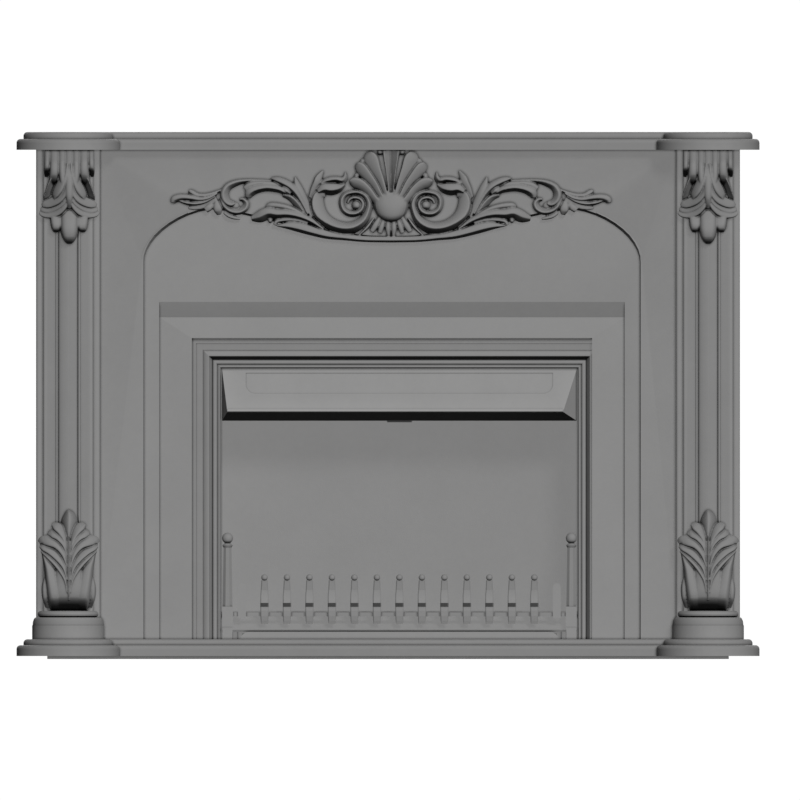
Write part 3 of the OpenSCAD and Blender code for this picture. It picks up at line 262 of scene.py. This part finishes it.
class Carving:
    """Strokes and domes on a flat ground that faces the room, all in millimetres."""

    SINK = 4.0

    def __init__(self, out, ground, up):
        self.hub = Vector((out, ground, up))
        self.clay = bmesh.new()

    def place(self, out, height, up):
        return self.hub + Vector((out, -height, up))

    def stroke(self, rows, ridge=0.0, left=(2.0, 0.0), right=(2.0, 0.0), step=3.0, across=14):
        """A ridge along rows of (out, up, half width, height, and where the ridge is).

        The ridge lies between -1, the stroke's right edge, and 1, its left edge. Each flank
        has a bend, 1 for straight and 2 for round, and the share of the height that is left at
        its edge.
        """
        path = smooth_rows([(*row, ridge)[:5] for row in rows], step)
        last = len(path) - 1
        sheet = bmesh.ops.create_grid(self.clay, x_segments=last, y_segments=across, size=1)
        under = sheet["verts"]
        faces = {face for vert in under for face in vert.link_faces}
        shell = bmesh.ops.extrude_face_region(self.clay, geom=list(faces), use_keep_orig=True)
        top = [part for part in shell["geom"] if isinstance(part, bmesh.types.BMVert)]
        for raised, verts in ((False, under), (True, top)):
            for vert in verts:
                index, side = round((vert.co.x + 1) / 2 * last), vert.co.y
                out, up, half, height, crown = path[index]
                ahead, behind = path[min(index + 1, last)], path[max(index - 1, 0)]
                way = Vector((ahead[0] - behind[0], ahead[1] - behind[1])).normalized()
                level = -self.SINK
                if raised:
                    on_left = side > crown
                    reach = 1 - crown if on_left else 1 + crown
                    bend, edge = left if on_left else right
                    fall = min(1.0, abs(side - crown) / max(reach, 0.01))
                    level = height * (edge + (1 - edge) * (1 - fall ** bend) ** (1 / bend))
                half = max(half, 0.3) * side
                vert.co = self.place(out - way.y * half, level, up + way.x * half)

    def dome(self, out, up, wide, tall, height):
        """A rounded boss, half sunk in the ground."""
        ball = bmesh.ops.create_icosphere(self.clay, subdivisions=3, radius=1)
        bmesh.ops.scale(self.clay, vec=(wide, height, tall), verts=ball["verts"])
        bmesh.ops.translate(self.clay, vec=self.place(out, 0, up), verts=ball["verts"])

    def mirror(self):
        """Adds the other half, mirrored across the hub's middle line."""
        half = self.clay.verts[:] + self.clay.edges[:] + self.clay.faces[:]
        copy = bmesh.ops.duplicate(self.clay, geom=half)["geom"]
        verts = [part for part in copy if isinstance(part, bmesh.types.BMVert)]
        bmesh.ops.scale(self.clay, vec=(-1, 1, 1), verts=verts,
                        space=Matrix.Translation(-self.hub))

    def cast(self, name, node, voxel=1.3, keep=0.5):
        """Fuses the strokes into one closed skin that takes the place of a frame's casting.

        `voxel` is the size of the remesh's cells, and `keep` the share of faces that stays.
        """
        bmesh.ops.scale(self.clay, vec=(MM, MM, MM), verts=self.clay.verts)
        mesh = bpy.data.meshes.new(name)
        self.clay.to_mesh(mesh)
        self.clay.free()
        piece = bpy.data.objects.new(name, mesh)
        bpy.context.scene.collection.objects.link(piece)
        fuse = piece.modifiers.new("fuse", "REMESH")
        fuse.mode, fuse.voxel_size = "VOXEL", voxel * MM
        soften = piece.modifiers.new("soften", "SMOOTH")
        soften.factor, soften.iterations = 0.5, 1
        thin = piece.modifiers.new("thin", "DECIMATE")
        thin.ratio = keep
        graph = bpy.context.evaluated_depsgraph_get()
        skin = bpy.data.meshes.new_from_object(piece.evaluated_get(graph))
        piece.modifiers.clear()
        piece.data = skin
        bpy.data.meshes.remove(mesh)
        skin.shade_smooth()
        skin.materials.append(None)
        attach(piece, "surround")
        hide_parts(node)
        print(name, len(skin.polygons), "faces")
        return piece


print("strokes are sunk", Carving.SINK, "mm into their ground")

# %% [markdown]
# ## The crest
# The crest is a scallop shell between two acanthus scrolls. On each side a broad C-scroll
# rolls in to a volute beside the shell, leaves break out of its back, and a thin stem ends in
# a curl and four fingers. Rows are read from the middle of the shell: millimetres outwards,
# millimetres up, half the width of the stroke and its height off the panel. Only one side is
# drawn; the other is its mirror image, as on the foundry's pattern. The side of a ridge that
# faces the floor is a straight steep flank, and the side that faces up falls gently.

# %% Crest scroll
CREST_GROUND = -62.0
HUB_X = 6.0
HUB_Z = 925.7
STEEP = (1.15, 0.0)
GENTLE = (1.6, 0.62)
LIP = (2.4, 0.45)

crest = Carving(HUB_X, CREST_GROUND, HUB_Z)
# Broad C-scroll from under the rolled leaf round to the eye of the volute
crest.stroke([(134, 14, 8, 12, 0.5), (146, 10, 11, 20, 0.7), (149, -5, 13.5, 26, 0.75),
              (144, -25, 14, 30, 0.6), (131, -41, 13, 32, 0.25), (111, -53, 13, 33, 0.0),
              (88, -57, 13, 33, -0.1), (69, -51, 11.5, 31, 0.0), (54, -38, 9, 27, 0.1),
              (46, -21, 7.5, 23, 0.1), (44, -6, 6.5, 20, 0.1), (50, 8, 6, 18, 0.1),
              (63, 16, 5.2, 16, 0.1), (77, 17, 5, 16, 0.0), (91, 13, 5.3, 17, 0.0),
              (99, 4, 5.6, 18, 0.0), (100, -8, 5.8, 19, 0.0), (95, -20, 6, 20, 0.0),
              (83, -27, 6.4, 21, 0.0), (69, -26, 6.2, 21, 0.0), (59, -18, 5.8, 20, 0.0),
              (56, -6, 5.2, 18, 0.0), (62, 3, 4.6, 17, 0.0), (74, 6, 4.2, 16, 0.0),
              (84, 2, 3.8, 15, 0.0), (88, -6, 3, 14, 0.0)],
             left=(1.25, 0.0), right=(1.5, 0.3), step=2.5)
crest.dome(70, -10, 10, 10, 21)
# Leaf rolled over the scroll's top: an upright fold, an arched fold and a tongue
crest.stroke([(163, 5, 4, 10), (157, 21, 6.5, 16), (150, 36, 7.5, 20), (146, 46, 7, 18),
              (137, 60, 2, 9)], ridge=-0.6, left=GENTLE, right=(2.2, 0.3))
crest.stroke([(141, 33, 5, 18), (127, 39, 7.7, 23), (111, 41, 7.7, 24), (99, 39, 8, 22),
              (92, 46, 5.5, 16), (92, 58, 1.4, 8)], ridge=-0.2, left=STEEP, right=GENTLE)
crest.stroke([(147, 17, 6, 24), (135, 23, 10.5, 30), (120, 22, 12, 31), (105, 25, 9, 27),
              (93, 32, 2, 16)], ridge=0.1, left=STEEP, right=(1.6, 0.7))
# Leaf that stands up behind the scroll: two blades, a small tongue and the fold under them
crest.stroke([(168, -27, 4, 16), (178, -6, 7, 20), (190, 14, 8.5, 24), (204, 28, 9, 26),
              (220, 37, 8.5, 24), (233, 42, 6, 18), (243, 45, 1, 9)],
             ridge=-0.2, left=(1.8, 0.5), right=STEEP)
crest.stroke([(160, -33, 3, 12), (170, -9, 6, 18), (180, 13, 7, 22), (189, 31, 6.5, 20),
              (194, 48, 1.2, 9)], ridge=-0.3, left=GENTLE, right=LIP)
crest.stroke([(203, 14, 3, 16), (211, 21, 5.5, 22), (219, 27, 3, 16)],
             ridge=-0.2, left=LIP, right=LIP)
crest.stroke([(219, 10, 3, 8), (204, 5, 6, 14), (191, -7, 7, 16), (180, -22, 5.5, 14),
              (170, -34, 3, 10)], ridge=-0.5, left=STEEP, right=GENTLE)
# Stem to the next curl in two folds, and the thin stem that arches over it
crest.stroke([(212, 15, 5, 18), (228, 23, 7.5, 24), (252, 26, 8, 25), (273, 22, 9, 23),
              (285, 15, 10, 20), (288, 5, 5.5, 13)], ridge=-0.1, left=(1.8, 0.55), right=STEEP)
crest.stroke([(216, 21, 2, 12), (234, 32, 4, 17), (261, 35, 4.5, 18), (283, 31, 6.5, 17),
              (295, 23, 6.5, 13)], ridge=0.0, left=LIP, right=(1.6, 0.5))
crest.stroke([(242, 40, 1.6, 6), (265, 40, 3, 9), (293, 39, 4.4, 13), (313, 35, 6.5, 17),
              (329, 27, 8, 20), (336, 14, 9, 21), (333, 1, 8.5, 20), (324, -6, 7, 18),
              (316, -4, 5, 15)], ridge=0.3, left=(2.0, 0.35), right=(1.3, 0.0))
crest.stroke([(343, 5, 4, 12), (337, -8, 6.7, 16), (325, -19, 7, 18), (309, -22, 7.4, 18),
              (296, -16, 7.4, 18), (292, -6, 6.6, 16), (298, 1, 5, 13), (306, 2, 3, 10)],
             ridge=0.2, left=(1.5, 0.2), right=STEEP)
crest.dome(315, -11, 9, 8, 11)
# Bud, drop and tail under the curl
crest.stroke([(352, -1, 4, 10), (351, -11, 8, 16), (349, -20, 8.5, 16), (347, -29, 4, 9)],
             left=LIP, right=LIP)
crest.stroke([(359, -8, 4, 10), (367, -14, 7, 13), (374, -20, 6, 11)], left=LIP, right=LIP)
crest.stroke([(337, -24, 3, 8), (327, -31, 4, 10), (315, -35, 3.6, 9), (304, -37, 2, 6)],
             left=LIP, right=LIP)
# Four fingers at the end
crest.stroke([(343, 21, 2, 12), (357, 15, 3.4, 14), (374, 10, 4.4, 15), (390, 10, 5, 15),
              (401, 15, 6, 14), (408, 20, 3.6, 10)], ridge=-0.2, left=LIP, right=STEEP)
crest.stroke([(351, 14, 2.5, 14), (368, 5, 4.2, 16), (386, 2, 5, 16), (406, 5, 6.3, 17),
              (424, 6, 7, 16), (437, 2, 7.5, 14), (440, -5, 5, 10)],
             ridge=-0.1, left=LIP, right=(1.3, 0.2))
crest.stroke([(355, 7, 2.5, 12), (374, -3, 3.8, 13), (392, -7, 4.2, 13), (410, -6, 4, 12),
              (428, -1, 2, 9)], left=LIP, right=STEEP)
crest.stroke([(352, 4, 3, 8), (366, -6, 4.8, 8), (380, -12, 5, 7), (396, -15, 4, 5),
              (409, -15, 2, 3)], left=LIP, right=LIP)
# Lower leaf in two folds, its small tongue, and the ribbon that runs back under the shell
crest.stroke([(137, -58, 3, 14), (160, -43, 6.5, 20), (184, -33, 9, 24), (208, -28, 10.5, 26),
              (230, -28, 11.5, 26), (248, -26, 12.5, 24), (265, -33, 12, 18), (282, -37, 5, 8)],
             ridge=0.0, left=(1.8, 0.5), right=STEEP)
crest.stroke([(168, -33, 1.5, 14), (188, -23, 4, 20), (208, -15, 5.5, 22), (228, -11, 6.2, 21),
              (244, -10, 6, 18), (252, -12, 3, 12)], ridge=0.1, left=LIP, right=(1.8, 0.5))
crest.stroke([(235, -50, 3.4, 9), (230, -42, 3.6, 12), (212, -39, 3.2, 13), (190, -40, 2.8, 13),
              (168, -46, 1.4, 12)], left=LIP, right=LIP)
crest.dome(244, -40, 4.5, 6, 11)
crest.stroke([(230, -51, 1.6, 8), (208, -51, 7, 15), (184, -55, 9.7, 18), (156, -63, 9, 18),
              (127, -70, 8, 17), (93, -74, 6.7, 15), (53, -78, 6, 14), (0, -79, 6, 14)],
             ridge=0.3, left=STEEP, right=(1.8, 0.6))
print("crest scroll:", len(crest.clay.verts), "points")

# %% [markdown]
# ## The scallop shell
# The shell has round-ended petals whose high edge faces the middle, a hollow middle petal in
# two halves, a plain belly, and a pleated skirt under it. It could be a spun disc with its rim
# pushed in and out, but each petal ends at its own height, so each is a stroke. The mirror
# image of the whole side is added before the belly, which lies across the middle.

# %% Scallop shell
PETAL_WALL = (4.0, 0.55)
PETAL_SLOPE = (1.4, 0.4)
# Three petals and half of the hollow one, with beads between their tips
crest.stroke([(6, -6, 6, 24), (14, 16, 7, 25), (22, 40, 9, 26), (32, 62, 12.5, 27),
              (39, 80, 15, 27), (43, 91, 12.5, 25), (45, 98, 6, 22)],
             ridge=0.72, left=PETAL_WALL, right=PETAL_SLOPE)
crest.stroke([(12, -8, 6, 24), (23, 10, 7, 24), (34, 30, 8.5, 25), (48, 49, 10.5, 26),
              (60, 64, 11.5, 26), (66, 71, 9, 24), (69, 75, 4, 21)],
             ridge=0.72, left=PETAL_WALL, right=PETAL_SLOPE)
crest.stroke([(20, -12, 7, 22), (34, 4, 7.5, 23), (47, 20, 9, 24), (62, 32, 11, 25),
              (73, 36, 11, 24), (80, 37, 8, 22), (84, 37, 4, 19)],
             ridge=0.6, left=PETAL_WALL, right=PETAL_SLOPE)
crest.stroke([(2, -4, 3, 24), (3.5, 30, 3.5, 24), (5.5, 60, 5.5, 25), (7.5, 85, 7.5, 26),
              (8.5, 102, 8.5, 26)], ridge=-0.75, left=(1.0, 0.3), right=PETAL_WALL)
crest.dome(22, 98, 6, 7, 12)
crest.dome(57, 79, 6, 6, 12)
crest.dome(69, 50, 6, 6, 12)
# Pleats of the skirt
crest.stroke([(5, -38, 4, 14), (6, -56, 5.5, 16), (5, -71, 3, 11)], left=LIP, right=LIP)
crest.stroke([(14, -38, 4, 13), (19, -53, 5.5, 15), (23, -66, 4.5, 12)], left=LIP, right=LIP)
crest.stroke([(23, -36, 4, 12), (31, -50, 6, 14), (39, -63, 5, 11)], left=LIP, right=LIP)
crest.stroke([(34, -36, 2, 8), (48, -55, 3.4, 9), (65, -71, 1.2, 5)], left=LIP, right=STEEP)
crest.mirror()
# Belly
crest.stroke([(0, 16, 26, 22), (0, 6, 32, 27), (0, -6, 36, 31), (0, -18, 34, 32),
              (0, -30, 28, 30), (0, -39, 18, 24), (0, -44, 6, 14)],
             left=(2.2, 0.1), right=(2.2, 0.1))
crest_casting = crest.cast("crest_carving", "crest_ornament", voxel=1.4, keep=0.4)

# %% [markdown]
# ## Corbel leaves
# Under each end of the shelf an acanthus leaf hangs down the pilaster. Its stalk is fluted,
# four fronds on each side roll out over one another, and three tongues hang from the lip. One
# sculpted sheet could show the outline but not the undercut edges, so the leaf is laid in
# strokes like the crest, with heights that fall towards the fronds' tips. The rows are read
# from the middle of the leaf's top edge, with every height off the pilaster.

# %% Two corbel leaves
LEAF_GROUND = -102.0
PILASTER_X = 646.0
CORBEL_TOP = 1027.0
FLUTE = (2.0, 0.78)
RIB = (2.0, 0.86)
FROND_TOP = (1.4, 0.62)
FROND_EDGE = (2.8, 0.66)
CURL = (1.0, 0.0)
TONGUE = (3.0, 0.1)


def corbel_leaf(name, out, node):
    """An acanthus leaf that hangs from the shelf."""
    leaf = Carving(out, LEAF_GROUND, CORBEL_TOP)
    # Three flutes of the stalk; the outer two curl under at their ends
    leaf.stroke([(14, 1, 7.4, 34), (14, -26, 7.6, 43), (13.5, -50, 7, 47), (12, -70, 5.6, 45),
                 (11, -84, 3, 38)], left=FLUTE, right=FLUTE)
    leaf.stroke([(29.8, 1, 8.8, 33), (29.8, -24, 9, 43), (30, -42, 9, 45), (32, -54, 8.4, 39),
                 (35, -63, 7, 27), (37.5, -70, 5, 9), (38.5, -74, 3, 1)], left=FLUTE, right=FLUTE)
    leaf.stroke([(44, 1, 6, 31), (44.5, -20, 6, 40), (45, -33, 5.8, 40), (46, -41, 5.4, 32),
                 (46.5, -48, 4.4, 15), (46.5, -54, 3, 1)], left=FLUTE, right=FLUTE)
    # Edge that curls forward beside the first frond
    leaf.stroke([(27, -50, 7, 39), (34, -66, 8.5, 35), (41, -82, 7.5, 25), (47, -94, 5.5, 14),
                 (50, -101, 2.5, 5)], ridge=0.85, left=CURL, right=CURL)
    # Four fronds, each over the next
    leaf.stroke([(5, -26, 4, 46), (9, -48, 7, 48), (15, -66, 9, 47), (22, -81, 9.5, 43),
                 (28, -92, 7.4, 36), (31, -98, 2.6, 29)],
                ridge=-0.4, left=FROND_TOP, right=FROND_EDGE)
    leaf.stroke([(5, -50, 4, 48), (7, -72, 6, 48), (12, -88, 8.2, 44), (23, -100, 9.6, 36),
                 (38, -107, 9.4, 24), (50, -110, 7, 15), (55, -112, 3, 10)],
                ridge=-0.5, left=FROND_TOP, right=FROND_EDGE)
    leaf.stroke([(5, -68, 4, 45), (6, -88, 6, 43), (12, -102, 8, 38), (24, -112, 9, 29),
                 (39, -118, 9, 18), (53, -119, 6.6, 10), (58, -119, 2.6, 6)],
                ridge=-0.5, left=FROND_TOP, right=FROND_EDGE)
    leaf.stroke([(5, -84, 4, 41), (6, -101, 6, 38), (13, -115, 8, 34), (25, -125, 9, 26),
                 (41, -129, 8.6, 16), (55, -127, 6.6, 8), (60, -125, 2.6, 5)],
                ridge=-0.5, left=FROND_TOP, right=FROND_EDGE)
    # Side tongue
    leaf.stroke([(18, -124, 15, 9), (22, -138, 17, 23), (25.5, -151, 13, 29), (27.5, -161, 8, 24),
                 (28, -166, 3.4, 11)], left=TONGUE, right=TONGUE)
    leaf.mirror()
    # Body, middle rib and middle tongue
    leaf.stroke([(0, 1, 48, 30), (0, -20, 48, 38), (0, -34, 46, 39), (0, -44, 39, 36),
                 (0, -56, 30, 32), (0, -72, 24, 32), (0, -95, 24, 30), (0, -114, 34, 15),
                 (0, -131, 37, 19), (0, -139, 30, 14)], left=(4.0, 0.4), right=(4.0, 0.4))
    leaf.stroke([(0, 1, 7, 34), (0, -30, 8, 43), (0, -60, 8, 49), (0, -90, 7, 49),
                 (0, -106, 5, 42), (0, -118, 3, 32)], left=RIB, right=RIB)
    leaf.stroke([(0, -118, 9, 17), (0, -129, 16, 27), (0, -143, 18.5, 36), (0, -160, 18.5, 41),
                 (0, -175, 15, 38), (0, -185, 9, 28), (0, -189, 4, 14)],
                left=TONGUE, right=TONGUE)
    return leaf.cast(name, node)


corbel_castings = [corbel_leaf("left_corbel_carving", 2.5 - PILASTER_X, "left_corbel_leaf"),
                   corbel_leaf("right_corbel_carving", PILASTER_X, "right_corbel_leaf")]

# %% [markdown]
# ## Foot leaves
# At the foot of each pilaster the same leaf grows upwards from the plinth: a closed bud at
# the top, lobes that open to both sides of one middle vein, and a base that tucks in under
# the leaf to the plinth's roll. It could be the corbel's leaf turned over, but its lobes
# point up along one vein, so it has rows of its own. They are read from the middle of the
# leaf's bottom edge.

# %% Two foot leaves
FOOT_BOTTOM = 98.0


def foot_leaf(name, out, node):
    """An acanthus leaf that stands on the plinth."""
    leaf = Carving(out, LEAF_GROUND, FOOT_BOTTOM)
    # Rolled side lobe and the broad lobe beside the vein
    leaf.stroke([(43, 6, 4, 8), (47, 25, 6.5, 26), (48, 45, 7, 30), (46, 62, 5.4, 26),
                 (44, 71, 2, 14)], left=LIP, right=LIP)
    leaf.stroke([(21, 1, 14, 2), (24, 14, 17, 29), (27, 30, 18, 43), (33, 58, 15.5, 44),
                 (39, 84, 11.5, 40), (47, 105, 6.5, 33), (54, 120, 2, 25)],
                ridge=-0.3, left=(2.0, 0.6), right=(2.0, 0.25))
    # Five lobes from the lowest up
    leaf.stroke([(1, 36, 4, 46), (4, 60, 6, 50), (13, 81, 8.5, 50), (25, 97, 9, 47),
                 (40, 111, 8, 41), (56, 121, 3, 29)],
                ridge=-0.6, left=FROND_TOP, right=FROND_EDGE)
    leaf.stroke([(1, 62, 4, 50), (6, 87, 8, 51), (18, 105, 10, 50), (35, 120, 10, 45),
                 (51, 128, 8, 37), (59, 130, 3, 27)],
                ridge=-0.6, left=FROND_TOP, right=FROND_EDGE)
    leaf.stroke([(1, 88, 4, 49), (8, 114, 8.5, 50), (22, 132, 10.5, 48), (39, 140, 12, 42),
                 (53, 141, 9.5, 33), (60, 137, 4, 24)],
                ridge=-0.5, left=FROND_TOP, right=FROND_EDGE)
    leaf.stroke([(1, 112, 4, 47), (7, 133, 7.5, 48), (19, 149, 10, 46), (33, 155, 9, 40),
                 (42, 156, 3.5, 30)], ridge=-0.6, left=FROND_TOP, right=FROND_EDGE)
    leaf.stroke([(2, 126, 4, 45), (7, 145, 7, 46), (16, 161, 9.5, 45), (26, 170, 9, 40),
                 (33, 175, 4, 29)], ridge=-0.5, left=FROND_TOP, right=FROND_EDGE)
    leaf.mirror()
    # Body, bud and vein
    leaf.stroke([(0, 0, 36, 0), (0, 6, 39, 12), (0, 14, 41, 28), (0, 24, 42, 39), (0, 36, 41, 44),
                 (0, 55, 36, 46), (0, 80, 29, 47), (0, 110, 21, 46), (0, 140, 13, 43)],
                left=(2.6, 0.35), right=(2.6, 0.35))
    leaf.stroke([(0, 146, 9, 40), (0, 160, 14, 43), (1, 177, 17, 42), (1, 190, 14, 37),
                 (0, 199, 8, 28), (0, 203, 3, 16)], left=(1.6, 0.05), right=(1.6, 0.05))
    leaf.stroke([(0, 20, 3, 38), (0, 38, 4, 50), (0, 80, 3.6, 54), (0, 120, 3, 52),
                 (0, 150, 2, 45)])
    return leaf.cast(name, node)


foot_castings = [foot_leaf("left_foot_carving", 1.5 - PILASTER_X, "left_foot_leaf"),
                 foot_leaf("right_foot_carving", PILASTER_X, "right_foot_leaf")]

# %% [markdown]
# ## Painted sand-cast iron
# Iron poured in sand keeps the sand's grain: a soft tooth about a millimetre across over
# slower waves from the pattern's finish. The fireplace is sprayed flat mid grey. The hollows
# and the faces that are turned down get painted shade, handling polishes the high edges, and
# what slopes up inside the firebox gets painted light. A painted picture could show this on
# one piece, but it would need unwrapping. Noise on Object coordinates runs through all the
# castings at one scale, and the wear and the painted shade follow each shape.

# %% Iron finishes
WAVES, MOTTLES, GRAINS, PITS = 9.0, 70.0, 620.0, 210.0
# How far the painted crevice shade reaches.
PAINTED_SHADE_REACH = 6 * MM
EDGE_WORN_FROM, EDGE_BARE = 0.515, 0.60
# Painted shade on faces that turn down, between these heights of the normal.
UNDERSIDE_SHADE_FROM, UNDERSIDE_SHADE_FULL = -0.42, -0.88
# Painted light on faces that turn up, between these heights of the normal.
TOP_LIGHT_FROM, TOP_LIGHT_FULL = 0.06, 0.30
TOOTH_DEPTH = 1.1 * MM


def warm_grey(level, warmth=0.004):
    """A grey in linear light with a trace of warmth."""
    return (level * (1 + warmth), level, level * (1 - warmth), 1)


def iron_finish(name, level, grain=1.0, underside_shade=0.9, top_light=0.0, metal=0.0, rough=0.74):
    """Painted casting: mottled grey, worn edges and a sand-cast tooth, with painted shade in
    crevices and on faces that turn down, and, where top_light is given, painted light on faces
    that turn up.
    """
    material = bpy.data.materials.new(name)
    material.use_nodes = True
    tree = material.node_tree
    shader = tree.nodes["Principled BSDF"]
    shader.inputs["Specular IOR Level"].default_value = 0.12
    shader.inputs["Metallic"].default_value = metal
    here = Mask(tree)
    place = here.node("ShaderNodeTexCoord", output="Object")
    waves = here.node("ShaderNodeTexNoise", Vector=place, Scale=WAVES, Detail=4.0, Roughness=0.6)
    mottle = here.node("ShaderNodeTexNoise", Vector=place, Scale=MOTTLES, Detail=5.0,
                       Roughness=0.65)
    tooth = here.node("ShaderNodeTexNoise", Vector=place, Scale=GRAINS, Detail=2.0,
                      Roughness=0.55)
    pits = here.node("ShaderNodeTexVoronoi", Vector=place, Scale=PITS)

    # Painted shade: ambient occlusion darkens the grey in crevices and at the foot of steep
    # walls.
    open_air = here.node("ShaderNodeAmbientOcclusion", {"samples": 8}, output="AO",
                         Distance=PAINTED_SHADE_REACH)
    painted_crevice_shade = (1 - open_air) ** 1.3
    edge = here.node("ShaderNodeNewGeometry", output="Pointiness")
    worn = here.node("ShaderNodeMapRange", Value=edge, i1=EDGE_WORN_FROM, i2=EDGE_BARE,
                     i3=0.0, i4=1.0)
    facing = here.node("ShaderNodeNewGeometry", output="Normal")
    upward = here.node("ShaderNodeSeparateXYZ", output="Z", Vector=facing)
    # Painted shade: faces that turn down are darkened, as if in shadow.
    painted_underside_shade = here.node("ShaderNodeMapRange", Value=upward, i1=UNDERSIDE_SHADE_FROM, i2=UNDERSIDE_SHADE_FULL,
                       i3=0.0, i4=underside_shade)
    # Painted light: faces that turn up are lightened, as if lit from above.
    painted_top_light = here.node("ShaderNodeMapRange", Value=upward, i1=TOP_LIGHT_FROM, i2=TOP_LIGHT_FULL,
                       i3=0.0, i4=top_light)
    # The grey's waves, mottle and worn edges, less the painted crevice shade. The painted
    # underside shade and painted top light are applied next.
    paint = 0.90 + waves * 0.12 + mottle * 0.08 + worn * 0.10 - painted_crevice_shade * 1.6
    tone_and_painted_light = paint * (1 - painted_underside_shade) * (1 + painted_top_light)
    colour = here.node("ShaderNodeMix", {"data_type": "RGBA", "blend_type": "MULTIPLY"},
                       output=2, i0=1.0, i6=warm_grey(level), i7=tone_and_painted_light)
    tree.links.new(colour.socket, shader.inputs["Base Color"])

    roughness = rough - 0.06 + mottle * 0.16 - worn * 0.14 + painted_crevice_shade * 0.12
    tree.links.new(roughness.socket, shader.inputs["Roughness"])
    relief = tooth * 0.5 + mottle * 0.35 + (pits > 0.05) * 0.12 + waves * 0.6
    bump = here.node("ShaderNodeBump", Height=relief, Strength=0.30 * grain,
                     Distance=TOOTH_DEPTH)
    tree.links.new(bump.socket, shader.inputs["Normal"])
    return material


finishes = {
    "painted_iron": iron_finish("painted_iron", 0.232),
    # The firebox's finish has painted light on the faces that turn up.
    "firebox_iron": iron_finish("firebox_iron", 0.226, grain=1.3, top_light=0.22, rough=0.80),
    "pan_steel": iron_finish("pan_steel", 0.192, grain=0.4, rough=0.55),
    "steel": iron_finish("dull_steel", 0.20, grain=0.25, metal=0.6, rough=0.42),
}
slot_of = {part["node"]: part["material_slot"] for part in frame["record"]["subparts"]}
for name, casting in nodes.items():
    casting.data.materials.clear()
    casting.data.materials.append(finishes[slot_of[name]])
for carving in [crest_casting, *corbel_castings, *foot_castings]:
    carving.data.materials[0] = finishes["painted_iron"]
print("finishes:", {slot: sum(s == slot for s in slot_of.values()) for slot in finishes})
